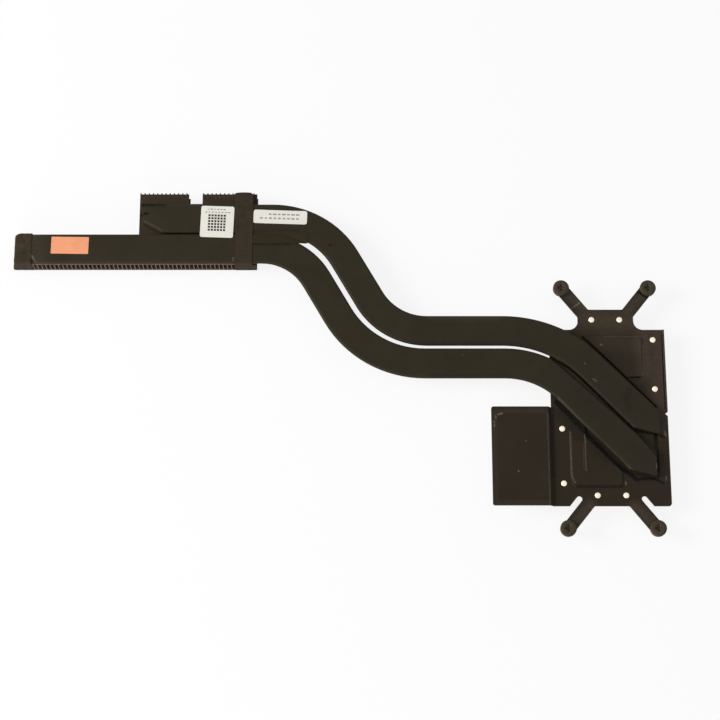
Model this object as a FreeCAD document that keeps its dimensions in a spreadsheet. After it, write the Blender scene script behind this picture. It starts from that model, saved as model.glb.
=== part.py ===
import FreeCAD, Part
import math
import os
import re
import Sketcher

# A laptop heatsink. Two flattened heat pipes leave a riveted base over the processor, pass through an
# S bend and lie on a stack of folded fins at the air outlet of the case.
# Frame: X along the fins, Y from the lower arms towards the outlet, Z away from the processor.
# The origin is the middle of the face that meets the processor.

SIZES = {
    # stack of the base
    "cold_plate_thickness": 1.5,
    "sheet_thickness": 0.8,
    "pipe_thickness": 2.0,
    # run of the two pipes, measured on the line midway between them
    "pipe_width": 10.6,
    "pipe_edge_radius": 0.95,
    "plate_angle": 46.0,
    "bend_angle": 60.0,
    "middle_offset": 20.7,
    "middle_run": 58.4,
    "bend_rise": 41.1,
    "first_bend_upper": 29.0,
    "first_bend_lower": 22.0,
    "second_bend": 22.6,
    "third_bend": 30.2,
    "plate_gap": 0.6,
    "middle_gap": 1.0,
    "diagonal_gap": 1.7,
    "fin_gap": 0.5,
    # swaged ends of the pipes
    "pipe_setback": 1.6,
    "fin_tip_face": 7.0,
    "fin_tip_run": 6.4,
    "plate_tip_face": 8.2,
    "plate_tip_angle": 14.0,
    "upper_tip": 16.8,
    "lower_tip": 15.2,
    # folded fins
    "fins_to_bend": 18.4,
    "fin_pitch": 1.47,
    "fin_sheet": 0.2,
    "fin_joint": 0.02,
    "fin_height": 5.7,
    "fin_lip": 0.12,
    "long_fin_count": 29,
    "deep_fin_count": 28,
    "long_fin_overhang": 0.15,
    "deep_fin_overhang": 4.7,
    "tooth_width": 1.03,
    "tooth_depth": 0.4,
    "notch_start": 17.2,
    "notch_width": 4.7,
    "notch_depth": 4.0,
    # stamped base sheet, measured from the origin
    "plate_left": 19.6,
    "plate_right": 19.95,
    "plate_top": 27.2,
    "plate_bottom": 34.4,
    "plate_corner": 1.0,
    "neck_half_width": 9.55,
    "neck_top": 34.45,
    "neck_fillet": 3.2,
    "edge_notch_place": 2.6,
    "edge_notch_width": 1.5,
    "edge_notch_depth": 0.9,
    "edge_lip_width": 0.5,
    "edge_lip_height": 0.35,
    # spring arms and their relief slots
    "screw_spacing_x": 30.0,
    "screw_spacing_y": 84.2,
    "arm_angle": 51.3,
    "arm_width": 4.5,
    "arm_shift": 0.1,
    "arm_eye_diameter": 5.4,
    "arm_fillet": 0.8,
    "slot_width": 2.0,
    "slot_reach": 11.4,
    "slot_length": 6.5,
    # raised fields of the sheet
    "emboss_height": 0.5,
    "emboss_corner": 1.5,
    "emboss_left": 13.4,
    "emboss_right": 11.9,
    "emboss_top": 24.6,
    "emboss_bottom": 27.9,
    "upper_field_low": 10.3,
    "lower_field_high": 12.0,
    "lower_field_right": 3.6,
    "bead_width": 0.9,
    "bead_length": 9.4,
    "bead_height": 0.2,
    # window under the pipes
    "window_left": 8.3,
    "window_right": 16.3,
    "window_upper_margin": 0.85,
    "window_lower_margin": 2.4,
    "window_tip_margin": 1.2,
    # side wing
    "wing_width": 19.3,
    "wing_start": 0.35,
    "wing_rise": 1.4,
    "wing_ramp": 1.15,
    "wing_corner": 0.8,
    # cold plate
    "cold_inset": 1.0,
    "cold_bottom": 29.8,
    "cold_tongue": 8.0,
    "cold_corner": 1.5,
    "ridge_inset": 1.0,
    "ridge_clearance": 0.4,
    # rivets
    "rivet_pair_x": 4.8,
    "rivet_pair_y": 30.8,
    "rivet_side_x": 16.0,
    "rivet_upper_first": 23.6,
    "rivet_upper_second": 6.1,
    "rivet_lower_first": 7.8,
    "rivet_lower_second": 26.7,
    "rivet_head_diameter": 2.0,
    "rivet_head_height": 0.3,
    "rivet_shank_diameter": 1.4,
    "rivet_clearance": 0.05,
    "rivet_recess": 0.25,
    # captive screws
    "screw_head_diameter": 5.5,
    "screw_head_height": 1.2,
    "screw_head_edge": 0.3,
    "screw_shank_diameter": 2.0,
    "screw_neck_diameter": 1.6,
    "screw_neck_play": 0.3,
    "screw_reach": 4.9,
    "screw_tip_edge": 0.3,
    "screw_clearance": 0.08,
    "screw_float": 0.05,
    "recess_span": 2.4,
    "recess_slot": 0.6,
    "recess_depth": 0.6,
    "retainer_diameter": 3.6,
    "retainer_thickness": 0.5,
    "retainer_clearance": 0.02,
    # tapes, labels and pads
    "tape_thickness": 0.2,
    "tape_hem": 0.3,
    "cap_width": 5.7,
    "cap_flare": 1.4,
    "band_width": 6.1,
    "band_place": 1.4,
    "band_back_gap": 0.15,
    "band_back_margin": 0.3,
    "label_thickness": 0.1,
    "label_turn": 1.9,
    "code_label_side": 11.55,
    "code_label_place": 13.8,
    "code_label_offset": 1.4,
    "strip_label_length": 18.7,
    "strip_label_width": 4.95,
    "strip_label_place": 8.2,
    "strip_label_offset": 0.35,
    "foil_length": 13.0,
    "foil_width": 6.2,
    "foil_place": 19.0,
    "foil_offset": 1.0,
    "foil_turn": 0.8,
    "seam_tape_length": 19.3,
    "seam_tape_width": 4.4,
    "seam_tape_offset": 1.6,
    "pad_margin": 2.0,
    "pad_thickness": 1.0,
}

doc = FreeCAD.newDocument("laptop_heatsink")
sheet = doc.addObject("Spreadsheet::Sheet", "Sizes")
for row, (alias, value) in enumerate(SIZES.items(), start=1):
    sheet.set(f"A{row}", alias.replace("_", " "))
    sheet.set(f"B{row}", str(value))
    sheet.setAlias(f"B{row}", alias)
doc.recompute()
PARTS = []

# Heights and places that several pieces share, as formulas of the sizes
SHEET_FLOOR = "cold_plate_thickness"
SHEET_TOP = "(cold_plate_thickness + sheet_thickness)"
PIPE_TOP = f"({SHEET_TOP} + pipe_thickness)"
FIN_FLOOR = f"({SHEET_TOP} - fin_height)"
PLATE_TURN = "(plate_angle * 1 deg)"
BEND_TURN = "(bend_angle * 1 deg)"
ARM_TURN = "(arm_angle * 1 deg)"
MIDDLE_LEFT = f"(-middle_offset / tan({PLATE_TURN}) - middle_run)"
FIN_ROW = "(middle_offset + bend_rise)"
FINS_RIGHT = f"({MIDDLE_LEFT} - bend_rise / tan({BEND_TURN}) - fins_to_bend)"
DEEP_LEFT = f"({FINS_RIGHT} - deep_fin_count * fin_pitch)"
LONG_LEFT = f"({DEEP_LEFT} - long_fin_count * fin_pitch)"
FIN_FRONT = f"({FIN_ROW} - pipe_width - fin_gap / 2 - fin_lip)"
LONG_DEPTH = "(fin_lip + pipe_width + long_fin_overhang)"
DEEP_DEPTH = "(fin_lip + 2 * pipe_width + fin_gap + deep_fin_overhang)"
SCREW_X = "(screw_spacing_x / 2)"
SCREW_Y = "(screw_spacing_y / 2)"
PAIR_HALF = "(pipe_width + plate_gap / 2)"
TIP_TAPER = "tan(plate_tip_angle * 1 deg)"
UPPER, LOWER = 1, -1


def formula(text):
    """Point every size's name in a formula at its cell."""
    return re.sub(r"[a-z_]+", lambda word: f"Sizes.{word[0]}" if word[0] in SIZES else word[0], str(text))


def number(text):
    """Work a formula out with the sizes as they are now."""
    value = sheet.evalExpression(formula(text))
    return float(getattr(value, "Value", value))


def bind(item, prop, text):
    item.setExpression(prop, formula(text))


def pipe_row(side):
    """Y of one pipe's middle line over the fins."""
    return f"({FIN_ROW} + {side} * (pipe_width + fin_gap) / 2)"


def across_plate(distance, x):
    """Y at a given X on the line that runs along the pipes on the plate, at a distance from the origin."""
    return f"(({distance} - ({x}) * sin({PLATE_TURN})) / cos({PLATE_TURN}))"


def tip_low(side, tip):
    """Y of the lower corner of one pipe's square end on the plate."""
    far_edge = f"({side} * (pipe_width + plate_gap) / 2 + pipe_width / 2)"
    return f"({across_plate(far_edge, tip)} - plate_tip_face)"


# the height at X nought of the line along the lower pipe's tapered end
TIP_LINE = f"({tip_low(LOWER, 'lower_tip')} + lower_tip * {TIP_TAPER})"


def taper_start(distance, tip):
    """X where a line along the pipes on the plate meets a line along the lower pipe's taper."""
    return f"(({distance} / cos({PLATE_TURN}) - {tip}) / (tan({PLATE_TURN}) - {TIP_TAPER}))"


def new_body(name):
    body = doc.addObject("PartDesign::Body", name)
    body.Label = name
    body.AllowCompound = True
    PARTS.append(body)
    return body


def origin_item(body, role):
    return next(item for item in body.Origin.OriginFeatures if item.Role == role)


def new_sketch(body, name, role="XY_Plane", along_normal="0", shift=("0", "0")):
    """A sketch on one of the body's own planes, moved along its normal and within it."""
    sketch = body.newObject("Sketcher::SketchObject", name)
    sketch.AttachmentSupport = [(origin_item(body, role), "")]
    sketch.MapMode = "FlatFace"
    for axis, text in zip("xyz", (*shift, along_normal)):
        bind(sketch, f"AttachmentOffset.Base.{axis}", text)
    return sketch


class Bend:
    """The arc that rounds one corner of a contour."""

    def __init__(self, before, corner, after, radius):
        into = (corner - before).normalize()
        out = (after - corner).normalize()
        self.left = into.cross(out).z > 0
        reach = radius * math.tan(into.getAngle(out) / 2)
        self.arrive = corner - into * reach
        self.leave = corner + out * reach
        square = FreeCAD.Vector(-into.y, into.x, 0) * (1 if self.left else -1)
        centre = self.arrive + square * radius
        ends = (self.arrive, self.leave) if self.left else (self.leave, self.arrive)
        first, last = (math.atan2(end.y - centre.y, end.x - centre.x) for end in ends)
        if last < first:
            last += 2 * math.pi
        self.arc = Part.ArcOfCircle(Part.Circle(centre, FreeCAD.Vector(0, 0, 1), radius), first, last)


def contour(sketch, corners, closed=True):
    """Straight runs through (x, y, radius) corners, with tangent arcs where a radius is given."""
    spots = [FreeCAD.Vector(number(x), number(y), 0) for x, y, radius in corners]
    count = len(spots)
    bends = {}
    for i, (x, y, radius) in enumerate(corners):
        if radius is not None:
            bends[i] = Bend(spots[i - 1], spots[i], spots[(i + 1) % count], number(radius))
    runs = []
    for i in range(count if closed else count - 1):
        follower = (i + 1) % count
        start = bends[i].leave if i in bends else spots[i]
        end = bends[follower].arrive if follower in bends else spots[follower]
        runs.append(sketch.addGeometry(Part.LineSegment(start, end)))
    rules, formulas = [], {}
    for i, (x, y, radius) in enumerate(corners):
        into = runs[i - 1] if closed or i > 0 else None
        out = runs[i] if i < len(runs) else None
        if i in bends:
            arc = sketch.addGeometry(bends[i].arc)
            spot = sketch.addGeometry(Part.Point(spots[i]), True)
            first, last = (1, 2) if bends[i].left else (2, 1)
            rules.append(Sketcher.Constraint("Tangent", into, 2, arc, first))
            rules.append(Sketcher.Constraint("Tangent", arc, last, out, 1))
            rules.append(Sketcher.Constraint("PointOnObject", spot, 1, into))
            rules.append(Sketcher.Constraint("PointOnObject", spot, 1, out))
            formulas[len(rules)] = radius
            rules.append(Sketcher.Constraint("Radius", arc, number(radius)))
            place = (spot, 1)
        elif into is not None and out is not None:
            rules.append(Sketcher.Constraint("Coincident", into, 2, out, 1))
            place = (out, 1)
        else:
            place = (into, 2) if out is None else (out, 1)
        for kind, text, value in (("DistanceX", x, spots[i].x), ("DistanceY", y, spots[i].y)):
            formulas[len(rules)] = text
            rules.append(Sketcher.Constraint(kind, -1, 1, *place, value))
    earlier = sketch.ConstraintCount
    sketch.addConstraint(rules)
    for index, text in formulas.items():
        bind(sketch, f"Constraints[{earlier + index}]", text)


def rectangle(sketch, left, right, low, high, radius=None):
    contour(sketch, [(left, low, radius), (right, low, radius), (right, high, radius), (left, high, radius)])


def circle(sketch, x, y, diameter):
    ring = sketch.addGeometry(
        Part.Circle(FreeCAD.Vector(number(x), number(y), 0), FreeCAD.Vector(0, 0, 1), number(diameter) / 2)
    )
    for kind, text in (("DistanceX", x), ("DistanceY", y)):
        index = sketch.addConstraint(Sketcher.Constraint(kind, -1, 1, ring, 3, number(text)))
        bind(sketch, f"Constraints[{index}]", text)
    index = sketch.addConstraint(Sketcher.Constraint("Diameter", ring, number(diameter)))
    bind(sketch, f"Constraints[{index}]", diameter)


def pad(body, sketch, name, length, reverse=False):
    feature = body.newObject("PartDesign::Pad", name)
    feature.Profile = sketch
    feature.Reversed = reverse
    bind(feature, "Length", length)
    doc.recompute()
    return feature


def pocket(body, sketch, name, length, reverse=False):
    """Cut a sketch downwards, or upwards when reversed, and make sure that it met the solid."""
    before = body.Shape.Volume
    feature = body.newObject("PartDesign::Pocket", name)
    feature.Profile = sketch
    feature.Reversed = reverse
    bind(feature, "Length", length)
    doc.recompute()
    if not body.Shape.Volume < before:
        raise RuntimeError(f"{body.Label}: {name} cuts nothing")
    return feature


def fillet_upright(body, name, radius, spots):
    """Round the upright edges that stand at the given places."""
    base = body.Tip
    names = []
    for x, y in spots:
        at = FreeCAD.Vector(number(x), number(y), 0)
        for index, edge in enumerate(base.Shape.Edges, start=1):
            ends = [FreeCAD.Vector(v.X, v.Y, 0) for v in edge.Vertexes]
            if len(ends) == 2 and all(end.distanceToPoint(at) < 0.01 for end in ends):
                names.append(f"Edge{index}")
    if len(names) != len(spots):
        raise RuntimeError(f"{body.Label}: {name} found {len(names)} of {len(spots)} edges")
    feature = body.newObject("PartDesign::Fillet", name)
    feature.Base = (base, names)
    bind(feature, "Radius", radius)
    doc.recompute()


def make_heat_pipe(name, side, fin_end, plate_tip):
    """A flattened tube swept along straight runs and tangent bends, with swaged ends."""
    body = new_body(name)
    row = pipe_row(side)
    middle = f"(middle_offset + {side} * (pipe_width + middle_gap) / 2)"
    on_plate = f"({side} * (pipe_width + plate_gap) / 2)"
    start = f"({fin_end} + pipe_setback)"

    def on_diagonal(y):
        offset = f"{side} * (pipe_width + diagonal_gap) / 2"
        return f"({MIDDLE_LEFT} + ({offset} - ({y} - middle_offset) * cos({BEND_TURN})) / sin({BEND_TURN}))"

    turn_on_plate = f"(({on_plate} - {middle} * cos({PLATE_TURN})) / sin({PLATE_TURN}))"
    past_tip = f"({plate_tip} + pipe_width / 2)"
    first_bend, outer, inner = "first_bend_upper", "+ pipe_width + middle_gap", ""
    if side == LOWER:
        first_bend, outer, inner = "first_bend_lower", inner, outer
    axis = f"{SHEET_TOP} + pipe_thickness / 2"
    path = new_sketch(body, f"{name}_path", along_normal=axis)
    contour(path, [
        (start, row, None),
        (on_diagonal(row), row, first_bend),
        (on_diagonal(middle), middle, f"second_bend {inner}"),
        (turn_on_plate, middle, f"third_bend {outer}"),
        (past_tip, across_plate(on_plate, past_tip), None),
    ], closed=False)
    section = new_sketch(body, f"{name}_section", "YZ_Plane", start, (row, axis))
    rectangle(section, "-pipe_width / 2", "pipe_width / 2", "-pipe_thickness / 2", "pipe_thickness / 2",
              "pipe_edge_radius")
    doc.recompute()
    tube = body.newObject("PartDesign::AdditivePipe", f"{name}_tube")
    tube.Profile = section
    tube.Spine = (path, [f"Edge{i + 1}" for i in range(len(path.Shape.Edges))])
    doc.recompute()

    # the end over the fins is pinched off along its front corner
    low = f"({row} - pipe_width / 2)"
    slope = "((pipe_width - fin_tip_face) / fin_tip_run)"
    trim = new_sketch(body, f"{name}_fin_tip", along_normal=f"{PIPE_TOP} + 1")
    contour(trim, [
        (f"{start} - 1", f"{low} - 1", None),
        (f"{start} + fin_tip_run + 1 / {slope}", f"{low} - 1", None),
        (f"{start} - 1", f"{low} + pipe_width - fin_tip_face + {slope}", None),
    ])
    pocket(body, trim, f"{name}_fin_tip_cut", "pipe_thickness + 2")

    # the end on the plate is cut square with the plate and tapers on its lower side
    face_low = tip_low(side, plate_tip)
    trim = new_sketch(body, f"{name}_plate_tip", along_normal=f"{PIPE_TOP} + 1")
    contour(trim, [
        (plate_tip, f"{face_low} + 2 * pipe_width", None),
        (plate_tip, face_low, None),
        (f"{plate_tip} - 1.2 * pipe_width", f"{face_low} + 1.2 * pipe_width * {TIP_TAPER}", None),
        (f"{plate_tip} - 1.2 * pipe_width", f"{face_low} - 2 * pipe_width", None),
        (f"{plate_tip} + 2 * pipe_width", f"{face_low} - 2 * pipe_width", None),
        (f"{plate_tip} + 2 * pipe_width", f"{face_low} + 2 * pipe_width", None),
    ])
    pocket(body, trim, f"{name}_plate_tip_cut", "pipe_thickness + 2")


def make_fin_pack(name, left, count, depth):
    """A row of fins, each one sheet folded to a channel whose flanges reach the next fin."""
    body = new_body(name)
    reach = "(fin_pitch - fin_joint)"
    fold = new_sketch(body, f"{name}_fold", "XZ_Plane", f"-{FIN_FRONT}", (left, FIN_FLOOR))
    contour(fold, [
        ("0", "0", None),
        (reach, "0", None),
        (reach, "fin_sheet", None),
        ("fin_sheet", "fin_sheet", None),
        ("fin_sheet", "fin_height - fin_sheet", None),
        (reach, "fin_height - fin_sheet", None),
        (reach, "fin_height", None),
        ("0", "fin_height", None),
    ])
    fin = pad(body, fold, f"{name}_fin", depth, reverse=True)
    tooth = new_sketch(body, f"{name}_tooth", along_normal=SHEET_TOP)
    rectangle(tooth, f"{left} + fin_pitch - tooth_width", f"{left} + fin_pitch",
              f"{FIN_FRONT} + {depth} - tooth_depth", f"{FIN_FRONT} + {depth} + tooth_depth")
    gap = pocket(body, tooth, f"{name}_tooth_gap", "fin_sheet")
    row = body.newObject("PartDesign::LinearPattern", f"{name}_row")
    row.Originals = [fin, gap]
    row.Direction = (origin_item(body, "X_Axis"), [""])
    bind(row, "Length", f"({count} - 1) * fin_pitch")
    bind(row, "Occurrences", count)
    body.Tip = row
    doc.recompute()
    return body


def make_fins():
    make_fin_pack("fin_pack_long", LONG_LEFT, "long_fin_count", LONG_DEPTH)
    deep = make_fin_pack("fin_pack_deep", DEEP_LEFT, "deep_fin_count", DEEP_DEPTH)
    back = f"({FIN_FRONT} + {DEEP_DEPTH})"
    notch = new_sketch(deep, "fin_notch", along_normal=f"{SHEET_TOP} + 1")
    rectangle(notch, f"{DEEP_LEFT} + notch_start", f"{DEEP_LEFT} + notch_start + notch_width",
              f"{back} - notch_depth", f"{back} + 1")
    pocket(deep, notch, "fin_notch_cut", "fin_height + 2")


def arm_corner(x_sign, y_sign, inwards, outwards):
    """A place on one spring arm: a distance from the screw along the arm, and one off its middle line."""
    x = f"({x_sign} * ({SCREW_X} - ({inwards}) * cos({ARM_TURN}) + ({outwards}) * sin({ARM_TURN})))"
    y = f"({y_sign} * ({SCREW_Y} - ({inwards}) * sin({ARM_TURN}) - ({outwards}) * cos({ARM_TURN})))"
    return x, y


QUARTERS = [(-1, 1), (1, 1), (-1, -1), (1, -1)]


def add_arms(body):
    """Four spring arms with round eyes, their root fillets and the lower pair's relief slots."""
    inner, outer = "(-arm_width / 2 - arm_shift)", "(arm_width / 2 - arm_shift)"
    root_end = "slot_reach + arm_width"
    for index, (x_sign, y_sign) in enumerate(QUARTERS, start=1):
        arm = new_sketch(body, f"arm_{index}", along_normal=SHEET_FLOOR)
        contour(arm, [(*arm_corner(x_sign, y_sign, along, off), None) for along, off in (
            ("0", outer), ("0", inner), (root_end, inner), (root_end, outer))])
        pad(body, arm, f"arm_{index}_pad", "sheet_thickness")
        eye = new_sketch(body, f"eye_{index}", along_normal=SHEET_FLOOR)
        circle(eye, f"{x_sign} * {SCREW_X}", f"{y_sign} * {SCREW_Y}", "arm_eye_diameter")
        pad(body, eye, f"eye_{index}_pad", "sheet_thickness")

    # where an arm's two sides leave the neck and the lower edge
    def root(y):
        return f"({SCREW_X} - ({SCREW_Y} - {y}) / tan({ARM_TURN}) + {inner} / sin({ARM_TURN}))"

    neck_side = f"({SCREW_Y} - ({SCREW_X} - neck_half_width) * tan({ARM_TURN}) - {outer} / cos({ARM_TURN}))"
    spots = []
    for x_sign in (-1, 1):
        spots.append((f"{x_sign} * {root('neck_top')}", "neck_top"))
        spots.append((f"{x_sign} * {root('plate_bottom')}", "-plate_bottom"))
        spots.append((f"{x_sign} * neck_half_width", neck_side))
    fillet_upright(body, "arm_root_fillets", "arm_fillet", spots)

    slots = new_sketch(body, "relief_slots", along_normal=f"{SHEET_TOP} + 1")
    for x_sign in (-1, 1):
        deep, mouth, far = "slot_reach", "slot_reach - slot_length", f"{outer} + slot_width"
        corners = [(deep, outer, "0.49 * slot_width"), (deep, far, "0.49 * slot_width"),
                   (mouth, far, None), (mouth, outer, None)]
        contour(slots, [(*arm_corner(x_sign, -1, along, off), radius) for along, off, radius in corners])
    pocket(body, slots, "relief_slots_cut", "sheet_thickness + 2")


def add_wing(body):
    """The raised side wing, and the ramp that lifts it from the sheet."""
    bend = "(-plate_left - wing_ramp)"
    wing = new_sketch(body, "wing", along_normal=f"{SHEET_FLOOR} + wing_rise")
    contour(wing, [
        (f"{bend} - wing_width", "-plate_bottom", "wing_corner"),
        (bend, "-plate_bottom", None),
        (bend, "-wing_start", None),
        (f"{bend} - wing_width", "-wing_start", "wing_corner"),
    ])
    pad(body, wing, "wing_pad", "sheet_thickness")
    ramp = new_sketch(body, "wing_ramp_side", "XZ_Plane", "wing_start")
    contour(ramp, [
        ("-plate_left + wing_ramp", SHEET_FLOOR, None),
        ("-plate_left + wing_ramp", SHEET_TOP, None),
        ("-plate_left", SHEET_TOP, None),
        (bend, f"{SHEET_TOP} + wing_rise", None),
        (f"{bend} - wing_ramp", f"{SHEET_TOP} + wing_rise", None),
        (f"{bend} - wing_ramp", f"{SHEET_FLOOR} + wing_rise", None),
        (bend, f"{SHEET_FLOOR} + wing_rise", None),
        ("-plate_left", SHEET_FLOOR, None),
    ])
    pad(body, ramp, "wing_ramp_pad", "plate_bottom - wing_start")


def add_raised_fields(body):
    """Two fields pressed up out of the sheet beside the pipes, with the bead on the lower one."""
    fields = {
        "upper_field": ("-window_left", "emboss_right", "upper_field_low", "emboss_top"),
        "lower_field": ("-emboss_left", "lower_field_right", "-emboss_bottom", "-lower_field_high"),
    }
    for name, (left, right, low, high) in fields.items():
        top = new_sketch(body, name, along_normal=SHEET_TOP)
        rectangle(top, left, right, low, high, "emboss_corner")
        pad(body, top, f"{name}_pad", "emboss_height")
        wall = "sheet_thickness / 2"
        hollow = new_sketch(body, f"{name}_hollow", along_normal=SHEET_FLOOR)
        rectangle(hollow, f"{left} + {wall}", f"{right} - {wall}", f"{low} + {wall}", f"{high} - {wall}",
                  f"emboss_corner - {wall}")
        pocket(body, hollow, f"{name}_hollow_cut", "emboss_height", reverse=True)
    bead = new_sketch(body, "bead", along_normal=f"{SHEET_TOP} + emboss_height")
    bead_high = "(-lower_field_high - bead_width)"
    rectangle(bead, "-window_left - bead_width", "-window_left", f"{bead_high} - bead_length", bead_high,
              "0.49 * bead_width")
    pad(body, bead, "bead_pad", "bead_height")


def rivet_places():
    places = [(f"{x_sign} * rivet_pair_x", f"{y_sign} * rivet_pair_y") for x_sign, y_sign in QUARTERS]
    places += [("rivet_side_x", "rivet_upper_first"), ("rivet_side_x", "rivet_upper_second")]
    places += [("-rivet_side_x", "-rivet_lower_first"), ("-rivet_side_x", "-rivet_lower_second")]
    return places


def cut_rivet_holes(body, top):
    holes = new_sketch(body, f"{body.Label}_rivet_holes", along_normal=f"{top} + 1")
    for x, y in rivet_places():
        circle(holes, x, y, "rivet_shank_diameter + 2 * rivet_clearance")
    pocket(body, holes, f"{body.Label}_rivet_holes_cut", f"{top} + 2")


def make_base_plate():
    """One stamped sheet: neck, spring arms, wing, raised fields, edge lip and the window under the pipes."""
    body = new_body("base_plate")
    outline = new_sketch(body, "outline", along_normal=SHEET_FLOOR)
    notch_low = "-edge_notch_place - edge_notch_width / 2"
    notch_high = "-edge_notch_place + edge_notch_width / 2"
    contour(outline, [
        ("-plate_left", "-plate_bottom", None),
        ("plate_right", "-plate_bottom", "plate_corner"),
        ("plate_right", notch_low, None),
        ("plate_right - edge_notch_depth", "-edge_notch_place", None),
        ("plate_right", notch_high, None),
        ("plate_right", "plate_top", None),
        ("neck_half_width", "plate_top", "neck_fillet"),
        ("neck_half_width", "neck_top", None),
        ("-neck_half_width", "neck_top", None),
        ("-neck_half_width", "plate_top", "neck_fillet"),
        ("-plate_left", "plate_top", "plate_corner"),
    ])
    pad(body, outline, "outline_pad", "sheet_thickness")
    add_arms(body)
    add_wing(body)
    add_raised_fields(body)
    lip = new_sketch(body, "edge_lip", along_normal=SHEET_TOP)
    rectangle(lip, "plate_right - edge_lip_width", "plate_right", notch_high, "plate_top")
    pad(body, lip, "edge_lip_pad", "edge_lip_height")

    window = new_sketch(body, "window", along_normal=f"{SHEET_TOP} + emboss_height + 1")
    upper = f"({PAIR_HALF} + window_upper_margin)"
    lower = f"(-{PAIR_HALF} - window_lower_margin)"
    tip = f"({TIP_LINE} - window_tip_margin)"
    bend = taper_start(lower, tip)
    contour(window, [
        ("-window_left", across_plate(upper, "-window_left"), None),
        ("-window_left", across_plate(lower, "-window_left"), None),
        (bend, across_plate(lower, bend), None),
        ("window_right", f"{tip} - window_right * {TIP_TAPER}", None),
        ("window_right", across_plate(upper, "window_right"), None),
    ])
    pocket(body, window, "window_cut", "sheet_thickness + emboss_height + 2")
    cut_rivet_holes(body, SHEET_TOP)
    eyes = new_sketch(body, "screw_holes", along_normal=f"{SHEET_TOP} + 1")
    hole = "screw_shank_diameter + 2 * screw_clearance"
    for x_sign, y_sign in QUARTERS:
        circle(eyes, f"{x_sign} * {SCREW_X}", f"{y_sign} * {SCREW_Y}", hole)
    pocket(body, eyes, "screw_holes_cut", "sheet_thickness + 2")


def make_cold_plate():
    """The copper plate that meets the processor, with rivet tongues and the ridge that reaches the pipes."""
    body = new_body("cold_plate")
    left, right = "(-plate_left + cold_inset)", "(plate_right - cold_inset)"
    top, tongue_top = "(plate_top - cold_inset)", "(neck_top - cold_inset)"
    tongue_bottom = "(-plate_bottom + cold_inset)"
    outline = new_sketch(body, "cold_outline")
    contour(outline, [
        (left, "-cold_bottom", "cold_corner"),
        ("-cold_tongue", "-cold_bottom", None),
        ("-cold_tongue", tongue_bottom, "cold_corner"),
        ("cold_tongue", tongue_bottom, "cold_corner"),
        ("cold_tongue", "-cold_bottom", None),
        (right, "-cold_bottom", "cold_corner"),
        (right, top, "cold_corner"),
        ("cold_tongue", top, None),
        ("cold_tongue", tongue_top, "cold_corner"),
        ("-cold_tongue", tongue_top, "cold_corner"),
        ("-cold_tongue", top, None),
        (left, top, "cold_corner"),
    ])
    pad(body, outline, "cold_outline_pad", "cold_plate_thickness")
    ridge = new_sketch(body, "ridge", along_normal="cold_plate_thickness")
    side = f"({PAIR_HALF} - ridge_inset)"
    near, far = "(-window_left + ridge_clearance)", "(lower_tip - ridge_clearance)"
    tip = f"({TIP_LINE} + ridge_inset)"
    bend = taper_start(f"-{side}", tip)
    contour(ridge, [
        (near, across_plate(side, near), None),
        (near, across_plate(f"-{side}", near), None),
        (bend, across_plate(f"-{side}", bend), None),
        (far, f"{tip} - {far} * {TIP_TAPER}", None),
        (far, across_plate(side, far), None),
    ])
    pad(body, ridge, "ridge_pad", "sheet_thickness")
    cut_rivet_holes(body, "cold_plate_thickness")


def make_rivets():
    """Eight low rivets through the sheet into the cold plate, as one group of separate solids."""
    rivets = []
    for index, (x, y) in enumerate(rivet_places(), start=1):
        shank = doc.addObject("Part::Cylinder", f"rivet_shank_{index}")
        bind(shank, "Radius", "rivet_shank_diameter / 2")
        bind(shank, "Height", f"{SHEET_TOP} - rivet_recess")
        bind(shank, "Placement.Base.z", "rivet_recess")
        head = doc.addObject("Part::Cone", f"rivet_head_{index}")
        bind(head, "Radius1", "rivet_head_diameter / 2")
        bind(head, "Radius2", "rivet_head_diameter / 2 - rivet_head_height")
        bind(head, "Height", "rivet_head_height")
        bind(head, "Placement.Base.z", SHEET_TOP)
        rivet = doc.addObject("Part::Fuse", f"rivet_{index}")
        rivet.Base = shank
        rivet.Tool = head
        bind(rivet, "Placement.Base.x", x)
        bind(rivet, "Placement.Base.y", y)
        rivets.append(rivet)
    group = doc.addObject("Part::Compound", "base_rivets")
    group.Label = "base_rivets"
    group.Links = rivets
    PARTS.append(group)


def place_body(body, x_sign, y_sign, z):
    bind(body, "Placement.Base.x", f"{x_sign} * {SCREW_X}")
    bind(body, "Placement.Base.y", f"{y_sign} * {SCREW_Y}")
    bind(body, "Placement.Base.z", z)


def revolve(body, sketch, name):
    feature = body.newObject("PartDesign::Revolution", name)
    feature.Profile = sketch
    feature.ReferenceAxis = (sketch, ["V_Axis"])
    feature.Angle = 360.0
    doc.recompute()


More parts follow.
